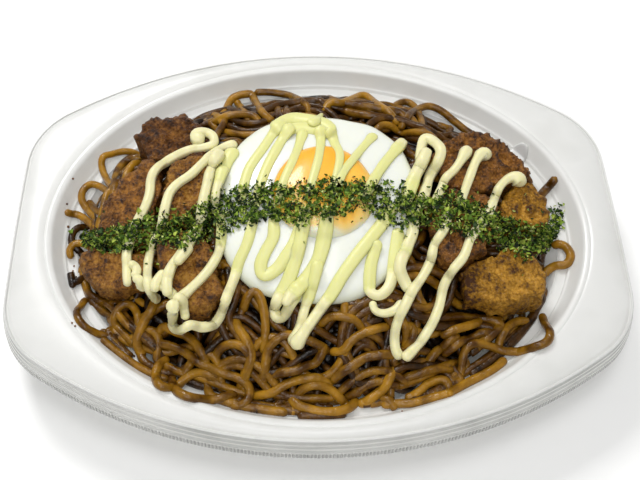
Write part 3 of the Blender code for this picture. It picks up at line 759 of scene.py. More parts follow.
# Radius, length and limit of reach from these ranges; heading off the way round the heap, in radians
LOOSE_RADIUS = (1.42, 1.72)
LOOSE_LENGTH = (80.0, 190.0)
LOOSE_LIMIT = (0.91, 1.055)
LOOSE_HEADING = 0.75
# Ranges of the wavelength in mm and of the swing in radians, for the long waves and for the short ones
LOOSE_WAVES = (((34.0, 78.0), (0.55, 1.4)), ((16.0, 30.0), (0.05, 0.32)))
# At most this many strands run side by side, this far apart, in mm
BUNDLE = 3
OVER_BUNDLE = 2
BESIDE = 3.5
BESIDE_DRIFT = 1.2
NEAR_SPILL = 0.045
RIGHT_DRAW = 0.06
HEAP_BORDER = 1.04
COVERED_SHARE = 0.2
FILL_ABOVE = 2.0
OVER_FILL_ABOVE = 4.0
MOST_NEED = 6.0


def held(plan, limit):
    """Pull the places past a share of the heap's reach back to it; the near and the left side reach out further."""
    x, y = plan.T
    most = limit - NEAR_SPILL * y / HEAP_HALF_WIDTH - RIGHT_DRAW * np.maximum(x, 0.0) / HEAP_HALF_LENGTH
    return soften(plan * np.minimum(1.0, most / reach_of(*plan.T))[:, None], 2)


def loose_plan(x, y):
    """A wavy line through a place: its heading swings as two sines along it, about the way round the heap."""
    length = strand_draw.uniform(*LOOSE_LENGTH)
    s = np.arange(-0.5 * length, 0.5 * length, STRAND_STEP)
    round_heap = math.atan2(HEAP_HALF_WIDTH ** 2 * x, -HEAP_HALF_LENGTH ** 2 * y)
    turn = np.full(len(s), round_heap + strand_draw.normal(0.0, LOOSE_HEADING))
    for waves, swings in LOOSE_WAVES:
        wave, swing, phase = strand_draw.uniform((waves[0], swings[0], 0.0), (waves[1], swings[1], 2.0 * math.pi))
        turn += swing * np.sin(2.0 * math.pi * s / wave + phase)
    plan = np.column_stack([np.cumsum(np.cos(turn)), np.cumsum(np.sin(turn))]) * STRAND_STEP
    plan += np.array([x, y]) - plan[len(s) // 2]
    return plan


dome_field = heap_height(grid_plan[..., 0], grid_plan[..., 1])
border = HEAP_BORDER - NEAR_SPILL * grid_plan[..., 1] / HEAP_HALF_WIDTH
on_heap = reach_of(grid_plan[..., 0], grid_plan[..., 1]) < border
wanted = np.where(covered, COVERED_SHARE, 1.0) * on_heap
while len(strands) < STRAND_COUNT + OVER_COUNT:
    over = len(strands) >= STRAND_COUNT
    fill = dome_field + (OVER_FILL_ABOVE if over else FILL_ABOVE)
    need = np.clip(fill - noodle_field, 0.0, MOST_NEED) ** 3 * wanted
    pick = strand_draw.choice(need.size, p=(need / need.sum()).ravel())
    x, y = grid_plan.reshape(-1, 2)[pick]
    plan = loose_plan(x, y)
    radius = strand_draw.uniform(*LOOSE_RADIUS)
    limit = strand_draw.uniform(*LOOSE_LIMIT)
    aside = level_aside(plan)
    for beside in range(strand_draw.integers(1, (OVER_BUNDLE if over else BUNDLE) + 1)):
        drift = strand_draw.normal(0.0, BESIDE_DRIFT) * np.linspace(-1.0, 1.0, len(plan)) ** 3
        moved = plan + aside * (BESIDE * beside + drift)[:, None]
        noodle(held(moved, limit), radius, OVER_MOST if over else LOOSE_MOST)
loose_count = len(strands)
print("loose strands:", loose_count, "mean top over the dome:",
      round(float((noodle_field - dome_field)[on_heap & ~covered].mean()), 2))

# %% [markdown]
# ### The strands that show best
#
# Each list holds the pixels that one noodle passes through in the 640 by 480 picture. The ray
# through a pixel meets the heap as laid so far, and the strand settles there.

# %% Strands placed by pixels
SHOWN_STRANDS = (
    ((207, 106), (219, 115), (226, 122)),
    ((219, 115), (228, 102), (235, 90), (241, 86), (250, 90), (255, 99), (264, 113), (275, 118)),
    ((235, 95), (244, 109), (250, 120)),
    ((253, 90), (275, 93), (298, 97), (308, 104), (309, 112)),
    ((210, 118), (228, 114), (253, 114), (262, 122)),
    ((323, 109), (330, 99), (341, 101), (352, 96), (366, 95), (377, 101), (389, 109), (400, 120)),
    ((385, 105), (400, 101), (415, 105), (425, 118)),
    ((400, 125), (412, 110), (425, 105), (440, 110), (455, 122), (470, 133), (485, 137)),
    ((126, 198), (114, 188), (106, 178), (101, 164), (102, 154), (112, 151), (130, 152), (150, 156)),
    ((106, 226), (94, 215), (84, 205), (81, 192), (89, 184), (104, 188), (120, 200)),
    ((86, 196), (92, 204), (102, 214), (112, 226)),
    ((64, 212), (73, 213), (81, 216), (90, 222), (104, 230)),
    ((72, 260), (69, 248), (77, 242), (98, 246)),
    ((146, 156), (130, 155), (123, 163), (116, 174), (114, 186), (112, 198), (104, 208), (98, 224)),
    ((150, 160), (136, 160), (129, 166), (125, 176), (124, 192)),
    ((122, 184), (108, 188), (104, 198), (102, 210), (98, 222), (96, 236)),
    ((84, 280), (88, 292), (99, 299), (112, 306), (126, 322), (140, 330)),
    ((87, 296), (81, 303), (76, 314), (87, 328), (103, 333), (118, 334)),
    ((99, 302), (116, 293), (133, 295), (146, 303)),
    ((100, 336), (106, 342), (118, 351), (137, 365), (155, 374), (170, 380)),
    ((120, 330), (112, 318), (118, 306), (130, 304), (138, 316), (136, 332)),
    ((143, 355), (136, 341), (141, 325), (152, 308), (156, 292)),
    ((168, 353), (157, 365), (155, 378), (162, 387), (176, 386), (186, 376), (195, 371), (207, 371), (222, 378)),
    ((170, 372), (174, 387), (186, 396), (205, 398), (222, 396), (240, 388)),
    ((153, 338), (168, 345), (184, 351), (199, 361), (219, 369), (238, 376), (249, 386), (246, 401), (228, 403)),
    ((156, 332), (163, 325), (174, 330), (190, 338), (202, 352), (208, 366)),
    ((234, 314), (238, 326), (246, 338), (251, 353), (246, 371), (238, 384)),
    ((242, 309), (248, 295), (255, 291), (261, 299), (265, 318), (265, 336), (262, 350)),
    ((214, 360), (218, 348), (230, 342), (244, 345), (255, 360)),
    ((262, 380), (266, 360), (270, 344), (284, 334), (300, 336), (318, 344), (330, 348)),
    ((250, 392), (268, 392), (284, 384), (300, 378), (318, 376), (334, 380)),
    ((268, 372), (286, 370), (304, 366), (318, 356), (326, 340)),
    ((300, 390), (295, 404), (292, 414)),
    ((296, 400), (300, 388), (310, 382), (324, 384), (338, 394), (350, 410)),
    ((330, 348), (344, 348), (351, 339), (365, 331), (378, 327), (392, 320)),
    ((318, 322), (330, 316), (344, 315), (356, 318), (366, 328)),
    ((330, 377), (347, 367), (365, 357), (384, 353), (400, 350)),
    ((408, 317), (415, 327), (411, 339), (403, 348)),
    ((441, 331), (462, 327), (477, 322), (482, 313)),
    ((427, 362), (437, 350), (451, 336), (462, 330)),
    ((443, 351), (455, 344), (469, 334), (486, 331), (500, 326)),
    ((399, 377), (417, 372), (437, 367), (456, 365)),
    ((356, 404), (370, 398), (384, 386), (392, 372), (398, 362)),
    ((404, 398), (420, 390), (429, 381), (441, 376), (450, 384), (450, 396)),
    ((507, 357), (493, 369), (469, 381), (451, 390), (420, 400), (399, 403), (380, 402)),
    ((378, 392), (390, 398), (397, 408)),
    ((358, 394), (350, 406), (332, 410), (312, 408), (296, 402), (288, 388)),
    ((462, 377), (463, 360), (467, 346), (477, 341), (491, 344), (505, 350), (521, 350), (538, 346), (548, 341),
     (550, 332), (545, 320), (541, 312)),
    ((500, 352), (501, 338), (508, 326), (520, 320), (536, 318)),
    ((530, 208), (541, 195), (548, 187), (556, 179)),
    ((552, 244), (566, 246), (572, 255), (565, 265), (552, 266), (544, 273)),
)

# The strands that stick out at the left, before this column of pixels, are thinner
THIN_BEFORE = 128
THIN_SHARE = 0.86
SHOWN_RADIUS = (1.55, 1.8)
SHOWN_SINK = 0.35
SHOWN_STIFFNESS = 5
for pixels in SHOWN_STRANDS:
    radius = strand_draw.uniform(*SHOWN_RADIUS) * (THIN_SHARE if pixels[0][0] < THIN_BEFORE else 1.0)
    plan, _ = lay(pixels, STRAND_STEP, noodle_field, radius, SHOWN_SINK, SHOWN_STIFFNESS)
    noodle(plan, radius, SHOWN_MOST, SHOWN_SINK, SHOWN_STIFFNESS)
print("strands in all:", len(strands))

# %% [markdown]
# ## Finish: fried wheat noodle in sauce
#
# A fried noodle is amber and slightly see-through, so light that goes in comes out a little
# further on: that is subsurface scattering. The sauce makes a thin glossy film, which is the
# shader's coat, and stains some strands darker than others. Each point's tint also falls with its
# depth in the heap, and the lower layers get darker tints: this is painted shade between the
# strands. A picture of noodles could give these stains, but a noise with a size in mm follows the
# strands at any distance.

# %% Noodle finishes and pieces
def make_noodle_finish(name, pale, middle_tone, dark):
    """Sauced wheat noodle: patches of stain a few mm long, one tint for each strand that also carries painted shade,
    and a glossy film.
    """
    material, tree, shader = start_finish(name, {
        "IOR": 1.38, "Specular IOR Level": 0.2, "Subsurface Weight": 0.12, "Subsurface Scale": 0.0015,
        "Subsurface Radius": (1.0, 0.4, 0.08), "Coat Weight": 0.5, "Coat Roughness": 0.1, "Coat IOR": 1.42})
    place = add_node(tree, "ShaderNodeTexCoord").outputs["Object"]
    stain = add_node(tree, "ShaderNodeTexNoise", {"Vector": place, "Scale": cells_per_metre(5.88), "Detail": 3.0})
    own = add_node(tree, "ShaderNodeAttribute", attribute_name="tint").outputs["Fac"]
    mixed = add_node(tree, "ShaderNodeMath", {0: own, 1: 0.45}, operation="MULTIPLY")
    share = add_node(tree, "ShaderNodeMath", {0: stain, 1: 0.75, 2: mixed}, operation="MULTIPLY_ADD")
    tone = add_node(tree, "ShaderNodeValToRGB", {"Fac": share},
                    stops=((0.3, dark), (0.55, middle_tone), (0.85, pale)))
    gloss = add_node(tree, "ShaderNodeMapRange", {"Value": stain, "From Min": 0.35, "From Max": 0.65,
                                                  "To Min": 0.28, "To Max": 0.5})
    # The real film's glitter is finer: 1.25 mm is about three pixels, as fine as the render shows it
    grain = add_node(tree, "ShaderNodeTexNoise", {"Vector": place, "Scale": cells_per_metre(1.25), "Detail": 3.0})
    bump = add_node(tree, "ShaderNodeBump", {"Height": grain, "Strength": 0.6, "Distance": 0.0005})
    set_inputs(tree, shader, {"Base Color": tone, "Roughness": gloss, "Normal": bump, "Coat Normal": bump})
    return material


sauced_noodle = make_noodle_finish("sauced_wheat_noodle", "#a07319", "#4e2f04", "#120700")
# The core's near-black tones are painted shade deep in the heap's gaps
core_shade_finish = make_noodle_finish("painted_shade_core", "#241205", "#180b03", "#0e0602")

# Name, first and last strand, and the range of tints of each layer; the lower layers' darker ranges are painted shade,
# the spread within a range is random tone
LOW_COUNT = 74
LAYERS = (
    ("noodles_low", 0, LOW_COUNT, 0.0, 0.5),
    ("noodles_middle", LOW_COUNT, loose_count, 0.1, 0.8),
    ("noodles_top", loose_count, len(strands), 0.5, 1.0),
)
# Painted shade darkens a noodle with its depth under the heap's softened top, but not at the heap's border
SHADE_START = 1.0
SHADE_DEPTH = 3.4
SHADE_DARK = 1.4
SHADE_BORDER = 0.12
SOFTENING = 50
heap_top = soften(soften(noodle_field, SOFTENING).T, SOFTENING).T
for name, first, last, darkest, palest in LAYERS:
    points, faces, tint = join_skins(strands[first:last], darkest, palest)
    depth = height_at(heap_top, points[:, :2]) - SHADE_START - points[:, 2]
    within = np.clip((1.0 - reach_of(points[:, 0], points[:, 1])) / SHADE_BORDER, 0.0, 1.0)
    tint = tint - SHADE_DARK * np.clip(depth / SHADE_DEPTH, 0.0, 1.0) * within
    add_piece(name, points, faces, sauced_noodle, ["noodle_heap"], {"tint": tint})

# %% [markdown]
# ## The heap's core
#
# What the inside of the heap looks like doesn't show, but the gaps between the strands must not
# show the tray. A closed dark body fills the heap: the dome, shrunk and sunk under the strands,
# with an underside just over the tray's floor. Its near-black colour is painted shade deep in the
# gaps. It is far cheaper than strands all the way down.

# %% The heap's core
CORE_SIDES = 140
CORE_SHARES = np.linspace(0.03, 0.985, 60)
CORE_FLOOR_Z = 1.3
CORE_UNDERSIDE = ((0.99, 14.0), (0.93, 3.8), (0.9, CORE_FLOOR_Z), (0.3, CORE_FLOOR_Z))
spokes = circle(CORE_SIDES) * (HEAP_HALF_LENGTH, HEAP_HALF_WIDTH) * CORE_SHARE
core_rings = [np.column_stack([spokes * share, core_height(spokes * share)]) for share in CORE_SHARES]
core_rings += [level_ring(spokes * share, z) for share, z in CORE_UNDERSIDE]
core_points = np.vstack(core_rings + [[[0.0, 0.0, core_rings[0][:, 2].mean()]], [[0.0, 0.0, CORE_FLOOR_Z]]])
core_faces = [group[:, ::-1] for group in capped_faces(len(core_rings), CORE_SIDES)]
add_piece("noodle_core", core_points, core_faces, core_shade_finish, ["noodle_heap"],
          {"tint": np.zeros(len(core_points))})

# %% [markdown]
# ## The fried egg
#
# The white is a thin pool with a soft rounded edge, and it sags over the noodles. The yolk is a
# low dome under a film of white that is cooked pale at the near side and is clear at the far
# side, where the yolk shows orange. Both could be sculpted, but rings are enough for shapes this
# even: an outline shrunk towards its middle and lifted by a profile. The white's profile runs
# from the middle over the edge and back below.

# %% Rings from a profile
# A profile's share of the way out counts as this many mm when its rows are spread evenly
SHARE_MM = 30.0


def pick_sides(outline, sides):
    """Choose this many points of a dense outline, spread evenly."""
    return outline[np.linspace(0, len(outline) - 1, sides, endpoint=False).astype(int)]


def polar(outline, centre, profile, rows, floor):
    """Rings of an outline: centre + share of the way out, at the floor's height there plus the profile's height."""
    line = through(profile, False)
    gaps = np.concatenate([[0.0], np.cumsum(np.hypot(*(np.diff(line, axis=0) * (SHARE_MM, 1.0)).T))])
    spread = np.linspace(0.0, gaps[-1], rows)
    share, lift = [np.interp(spread, gaps, column) for column in line.T]
    plan = centre + (outline - centre) * share[:, None, None]
    return np.concatenate([plan, (floor(plan) + lift[:, None])[..., None]], axis=-1), share


def skin_of(rings):
    """Points and faces of a closed skin: rings, with the first and the last one closed by their middle points."""
    points = np.vstack([rings.reshape(-1, 3), rings[0].mean(axis=0)[None], rings[-1].mean(axis=0)[None]])
    return points, [group[:, ::-1] for group in capped_faces(*rings.shape[:2])]


def close_gaps(field):
    """Fill single missed cells: the highest of the neighbours, and then the lowest of those."""
    for pick in (np.max, np.min):
        wide = np.pad(field, 1, mode="edge")
        rows, columns = field.shape
        field = pick([wide[i:i + rows, j:j + columns] for i in range(3) for j in range(3)], axis=0)
    return field


def raise_by_rings(field, rings, fine=4):
    """Raise the grid by a surface of rings, filled in between its own rows and columns."""
    closed = np.concatenate([rings, rings[:, :1]], axis=1)
    for share in np.arange(fine) / fine:
        row = closed[:-1] * (1.0 - share) + closed[1:] * share
        for across in np.arange(fine) / fine:
            raise_field(field, row[:, :-1] * (1.0 - across) + row[:, 1:] * across)
    return close_gaps(field)


# %% The white and the yolk
EGG_SIDES = 240
EGG_ROWS = 120
EGG_TOP_ROWS = 72
# The outline wavers by a share of its width, and the top swells by mm: each with the size of its bumps in mm
EGG_WAVER, EGG_WAVER_SIZE = 0.02, 11.0
EGG_SWELL, EGG_SWELL_SIZE = 0.35, 15.0
EDGE_SWELL, EDGE_SWELL_SIZE = 0.45, 8.0
FINE_STEP = 0.2
EGG_PROFILE = (
    (0.02, 5.4), (0.3, 5.5), (0.46, 6.4), (0.54, 6.3), (0.68, 5.5), (0.84, 4.9), (0.93, 4.4), (0.975, 3.8),
    (0.996, 3.0), (1.0, 2.2), (0.985, 1.4), (0.95, 1.0), (0.88, 0.9), (0.5, 0.9), (0.02, 0.9),
)
YOLK_RADIUS = 19.6
YOLK_FAR_STRETCH = 0.13
YOLK_ROWS = 70
YOLK_TOP_ROWS = 40
YOLK_SWELL, YOLK_SWELL_SIZE = 0.15, 7.0
YOLK_PROFILE = (
    (0.02, 11.1), (0.3, 10.95), (0.55, 10.5), (0.74, 9.7), (0.88, 8.5), (0.96, 7.2), (1.0, 5.9), (0.99, 4.9),
    (0.93, 4.3), (0.5, 4.2), (0.02, 4.2),
)
outline = pick_sides(evenly(through(EGG_OUTLINE, True), FINE_STEP), EGG_SIDES)
outline += (outline - EGG_CENTRE) * EGG_WAVER * plan_bumps(outline, EGG_WAVER_SIZE)[:, None]
white_rings, share = polar(outline, EGG_CENTRE, EGG_PROFILE, EGG_ROWS, rest_height)
swell = EGG_SWELL * plan_bumps(white_rings, EGG_SWELL_SIZE)
swell += EDGE_SWELL * plan_bumps(white_rings, EDGE_SWELL_SIZE) * share[:, None] ** 6
white_rings[..., 2] += swell * (np.arange(EGG_ROWS) < EGG_TOP_ROWS)[:, None]
yolk_round = circle(EGG_SIDES)
yolk_round[:, 1] *= 1.0 + YOLK_FAR_STRETCH * np.maximum(yolk_round[:, 1], 0.0)
yolk_outline = EGG_CENTRE + YOLK_RADIUS * yolk_round
yolk_rings, _ = polar(yolk_outline, EGG_CENTRE, YOLK_PROFILE, YOLK_ROWS, rest_height)
swell = YOLK_SWELL * plan_bumps(yolk_rings, YOLK_SWELL_SIZE)
yolk_rings[..., 2] += swell * (np.arange(YOLK_ROWS) < YOLK_TOP_ROWS)[:, None]
food_field = raise_by_rings(raise_by_rings(noodle_field.copy(), white_rings), yolk_rings)
print("egg top in mm:", round(float(yolk_rings[..., 2].max()), 2))

# %% [markdown]
# ## Finish: cooked egg
#
# Set egg white is a smooth, wet gel: light scatters deep in it, so shadows inside it are soft.
# The yolk is denser and orange. A film of white lies over it. A second thin mesh could be the
# film, but it would cut into the yolk, so the film's cover is an attribute that colours the dome.

# %% Egg finishes and pieces
def make_egg_finish(name, stops, scatter):
    """Cooked egg: the cover of white film mixes the two colours, and a wet surface reflects softly."""
    material, tree, shader = start_finish(name, {
        "Roughness": 0.3, "IOR": 1.4, "Subsurface Weight": 0.5, "Subsurface Scale": 0.004,
        "Subsurface Radius": scatter, "Coat Weight": 0.3, "Coat Roughness": 0.12})
    place = add_node(tree, "ShaderNodeTexCoord").outputs["Object"]
    cloud = add_node(tree, "ShaderNodeTexNoise", {"Vector": place, "Scale": cells_per_metre(7.69), "Detail": 3.0})
    film = add_node(tree, "ShaderNodeAttribute", attribute_name="film").outputs["Fac"]
    share = add_node(tree, "ShaderNodeMath", {0: cloud, 1: 0.3, 2: film}, operation="MULTIPLY_ADD")
    tone = add_node(tree, "ShaderNodeValToRGB", {"Fac": share}, stops=stops)
    # Real pores are finer than 2 mm, but finer ones don't show in the render
    pores = add_node(tree, "ShaderNodeTexNoise", {"Vector": place, "Scale": cells_per_metre(2.0), "Detail": 2.0})
    bump = add_node(tree, "ShaderNodeBump", {"Height": pores, "Strength": 0.12, "Distance": 0.0004})
    set_inputs(tree, shader, {"Base Color": tone, "Normal": bump})
    return material


egg_white = make_egg_finish("cooked_egg_white", ((0.1, "#d2d5ba"), (0.6, "#e3e6d8"), (1.0, "#eaece2")),
                            (1.0, 0.95, 0.7))
egg_yolk = make_egg_finish("soft_egg_yolk", ((0.25, "#fbb02c"), (0.6, "#fbc04c"), (0.85, "#f6d488"), (1.0, "#e9e3c8")),
                           (1.0, 0.5, 0.12))


# Cover of the film in the yolk's middle, and how much more there is nearer, to the right, by chance and at the rim
FILM_MIDDLE, FILM_NEAR, FILM_RIGHT, FILM_CHANCE, FILM_RIM = 0.28, 0.4, 0.15, 0.3, 0.3
FILM_SIZE = 9.0
RIM_FROM = 0.75
RIM_NEAR = 1.5
# The white is thinner, and its colour greener, towards its edge
EDGE_SLOPE = 9.0
EDGE_MOST = 0.8


def film_over(points):
    """Cover of white film on the yolk: a slope towards the near right, bumps, and a rim on the near side."""
    x, y = ((points[:, :2] - EGG_CENTRE) / YOLK_RADIUS).T
    rim = np.clip((np.hypot(x, y) - RIM_FROM) / (1.0 - RIM_FROM), 0.0, 1.0) * np.clip(-RIM_NEAR * y, 0.0, 1.0)
    slope = FILM_MIDDLE - FILM_NEAR * y + FILM_RIGHT * x
    return np.clip(slope + FILM_CHANCE * plan_bumps(points, FILM_SIZE) + FILM_RIM * rim, 0.0, 1.0)


points, faces = skin_of(white_rings)
edge = np.repeat(np.clip((1.0 - share) * EDGE_SLOPE, 0.0, EDGE_MOST), EGG_SIDES)
edge = np.concatenate([edge, [EDGE_MOST, EDGE_MOST]])
add_piece("egg_white_pool", points, faces, egg_white, ["egg_white"], {"film": edge})
points, faces = skin_of(yolk_rings)
add_piece("egg_yolk_dome", points, faces, egg_yolk, ["egg_yolk"], {"film": film_over(points)})

# %% [markdown]
# ## The fried pork
#
# Nine pieces of pork lie at the two ends: dark and red-brown slices, browned flat pieces and
# two golden crisp ones. Each is a slab with a rounded, torn edge whose top leans, and its crust
# is rough at several sizes at once. A bump in the shader would leave the outline smooth, so the
# roughness moves each point along the skin's own direction, and crags also show from the side.

# %% Slabs with a rough crust
PORK_SIDES = 230
PORK_ROWS = 84
PORK_FINE_STEP = 0.1
TORN = 1.5
TORN_SIZE = 8.0
LEAST_THICK = 0.55
# The crust's coarse folds and fine grains: size of the largest bumps in mm, and their strength
FOLD_SIZE, FOLD_STRENGTH, FOLD_DROP = 7.0, 1.9, 0.8
GRAIN_SIZE, GRAIN_STRENGTH, GRAIN_GAIN = 2.6, 0.7, 0.6
# Crags start above the lowest part of the side, and each piece reads its own stretch of the random fields
GRIP = 4.0
PIECE_SHIFT = 40.0
TORN_SHIFT = 9.0
SLAB_PROFILE = ((0.02, 1.03), (0.25, 1.03), (0.5, 1.0), (0.78, 0.99), (0.91, 0.95), (0.97, 0.82), (0.995, 0.55),
                (1.0, 0.3), (0.97, 0.12), (0.9, 0.02), (0.6, 0.0), (0.02, 0.0))
# Thickness, rise per mm along X and Y, roughness in mm, squareness of the outline, and the finish of each piece
PORK_LOOKS = {
    "pork_left_back": (8.5, (0.12, 0.03), 1.4, 0.6, "dark_crust"),
    "pork_left_inner": (8.0, (0.05, 0.0), 1.0, 0.6, "brown_crust"),
    "pork_left_outer": (7.5, (0.25, 0.05), 0.9, 0.6, "red_crust"),
    "cutlet_left_front": (8.3, (0.22, 0.08), 0.7, 0.7, "brown_crust"),
    "cutlet_left_inner": (9.0, (0.02, 0.06), 0.8, 0.7, "brown_crust"),
    "pork_right_back": (8.0, (-0.2, -0.05), 1.7, 0.6, "red_crust"),
    "pork_right_outer": (8.5, (-0.15, 0.0), 1.0, 0.7, "gold_crust"),
    "pork_right_inner": (8.0, (-0.12, 0.0), 1.4, 0.6, "red_crust"),
    "cutlet_right_front": (10.0, (-0.1, 0.1), 0.75, 1.0, "gold_crust"),
}


def skin_normals(rings):
    """Outward directions on a grid of rings: the cross product of the way round and the way along the profile."""
    around = np.roll(rings, -1, axis=1) - np.roll(rings, 1, axis=1)
    down = np.gradient(rings, axis=0)
    normal = np.cross(down, around)
    return normal / np.maximum(np.linalg.norm(normal, axis=-1, keepdims=True), 1e-9)


def slab_rings(corners, thickness, lean, rough, squareness, seed):
    """Rings of a slab: its top is level with its middle, leans, and stays above what carries it."""
    loop = np.vstack([corners, corners[:1]])
    places = np.arange(len(corners) * CURVE_SAMPLES + 1) / CURVE_SAMPLES
    straight = np.column_stack([np.interp(places, np.arange(len(loop)), column) for column in loop.T])
    mixed = squareness * straight + (1.0 - squareness) * through(corners, True)
    outline = pick_sides(evenly(mixed, PORK_FINE_STEP), PORK_SIDES)
    centre = outline.mean(axis=0)
    torn = roughness(level_ring(outline, TORN_SHIFT * seed), TORN_SIZE, 3)
    outline += (outline - centre) / np.linalg.norm(outline - centre, axis=1)[:, None] * (TORN * torn)[:, None]
    rings, share = polar(outline, centre, SLAB_PROFILE, PORK_ROWS, lambda plan: 0.0 * plan[..., 0])
    plan, part = rings[..., :2], rings[..., 2]
    level = float(heap_height(*centre)) + REST + thickness
    low = rest_height(plan) + REST
    high = np.maximum(level + (plan - centre) @ np.array(lean), low + LEAST_THICK * thickness)
    rings[..., 2] = low + (high - low) * part
    normal = skin_normals(rings)
    spot = rings + PIECE_SHIFT * seed
    craggy = np.abs(roughness(spot, FOLD_SIZE, 3)) * FOLD_STRENGTH - FOLD_DROP
    craggy = craggy + GRAIN_STRENGTH * roughness(spot, GRAIN_SIZE, 3, GRAIN_GAIN)
    grip = np.clip(part * GRIP, 0.0, 1.0) * rough
    return rings + normal * (craggy * grip)[..., None], craggy


pork_rings = {name: slab_rings(PORK_OUTLINES[name], *look[:-1], seed)
              for seed, (name, look) in enumerate(PORK_LOOKS.items())}
for rings, _ in pork_rings.values():
    food_field = raise_by_rings(food_field, rings, 2)

# %% [markdown]
# ## Finish: fried crust
#
# A fried crust is a dry, grainy shell of starch and browned meat. Its colour goes by height and
# by chance: crags are paler and hollows darker. The height is an attribute that
# the shape already has, and two noises add the chance. A little oil makes small glints.

# %% Crust finishes and pieces
CRUST_TONES = {
    "dark_crust": ("#271206", "#603912", "#956428"),
    "red_crust": ("#291206", "#734818", "#ac7630"),
    "brown_crust": ("#331a09", "#7e5119", "#b28236"),
    "gold_crust": ("#442406", "#90640f", "#c99538"),
}


def make_crust(name, tones):
    """Fried crust: coarse patches and fine grain in three tones, darker in the hollows, with rough oily glints."""
    material, tree, shader = start_finish(name, {
        "IOR": 1.4, "Specular IOR Level": 0.3, "Subsurface Weight": 0.06, "Subsurface Scale": 0.0015,
        "Subsurface Radius": (1.0, 0.4, 0.1), "Coat Weight": 0.35, "Coat Roughness": 0.14, "Coat IOR": 1.4})
    place = add_node(tree, "ShaderNodeTexCoord").outputs["Object"]
    patches = add_node(tree, "ShaderNodeTexNoise", {"Vector": place, "Scale": cells_per_metre(4.0), "Detail": 6.0,
                                                    "Roughness": 0.75})
    grain = add_node(tree, "ShaderNodeTexNoise", {"Vector": place, "Scale": cells_per_metre(1.111), "Detail": 3.0})
    both = add_node(tree, "ShaderNodeMath", {0: grain, 1: 0.6, 2: patches}, operation="MULTIPLY_ADD")
    crag = add_node(tree, "ShaderNodeAttribute", attribute_name="crag").outputs["Fac"]
    raised = add_node(tree, "ShaderNodeMath", {0: crag, 1: 0.1, 2: both}, operation="MULTIPLY_ADD")
    shifted = add_node(tree, "ShaderNodeMath", {0: raised, 1: 0.28}, operation="SUBTRACT")
    tone = add_node(tree, "ShaderNodeValToRGB", {"Fac": shifted},
                    stops=((0.3, tones[0]), (0.49, tones[1]), (0.74, tones[2])))
    gloss = add_node(tree, "ShaderNodeMapRange", {"Value": patches, "From Min": 0.35, "From Max": 0.65,
                                                  "To Min": 0.42, "To Max": 0.75})
    bump = add_node(tree, "ShaderNodeBump", {"Height": both, "Strength": 1.0, "Distance": 0.0013})
    set_inputs(tree, shader, {"Base Color": tone, "Roughness": gloss, "Normal": bump, "Coat Normal": bump})
    return material


# The front right piece has lost its crust on its left side: where it begins along X, and over how many mm
BARE_PIECE = "cutlet_right_front"
BARE_FROM_X = 60.0
BARE_OVER = 7.0
BARE_DARKER = 1.6
BARE_RAGGED, BARE_RAGGED_SIZE = 0.5, 5.0
crusts = {name: make_crust("fried_" + name, tones) for name, tones in CRUST_TONES.items()}
for name, (rings, crag) in pork_rings.items():
    points, faces = skin_of(rings)
    look = PORK_LOOKS[name]
    crag = np.append(crag.ravel(), [crag[0].mean(), crag[-1].mean()])
    if name == BARE_PIECE:
        ragged = BARE_RAGGED * bumps(points, BARE_RAGGED_SIZE)
        crag = crag - BARE_DARKER * np.clip((BARE_FROM_X - points[:, 0]) / BARE_OVER + ragged, 0.0, 1.0)
    add_piece(name + "_crusted", points, faces, crusts[look[-1]], [name], {"crag": crag})

# %% [markdown]
# ## The mayonnaise
#
# The mayonnaise was squeezed from a narrow nozzle that swung to and fro across the food. It is
# 3 to 5 mm wide, droops into gaps, and ends in blobs where the nozzle paused. Its lines follow
# no rule, so they are traced: each stroke is a list of the pixels on its middle line, with its
# half width at its start, its middle and its end, in mm before all are scaled by one width.
# Later strokes lie over earlier ones, on the same kind of grid as the noodles.

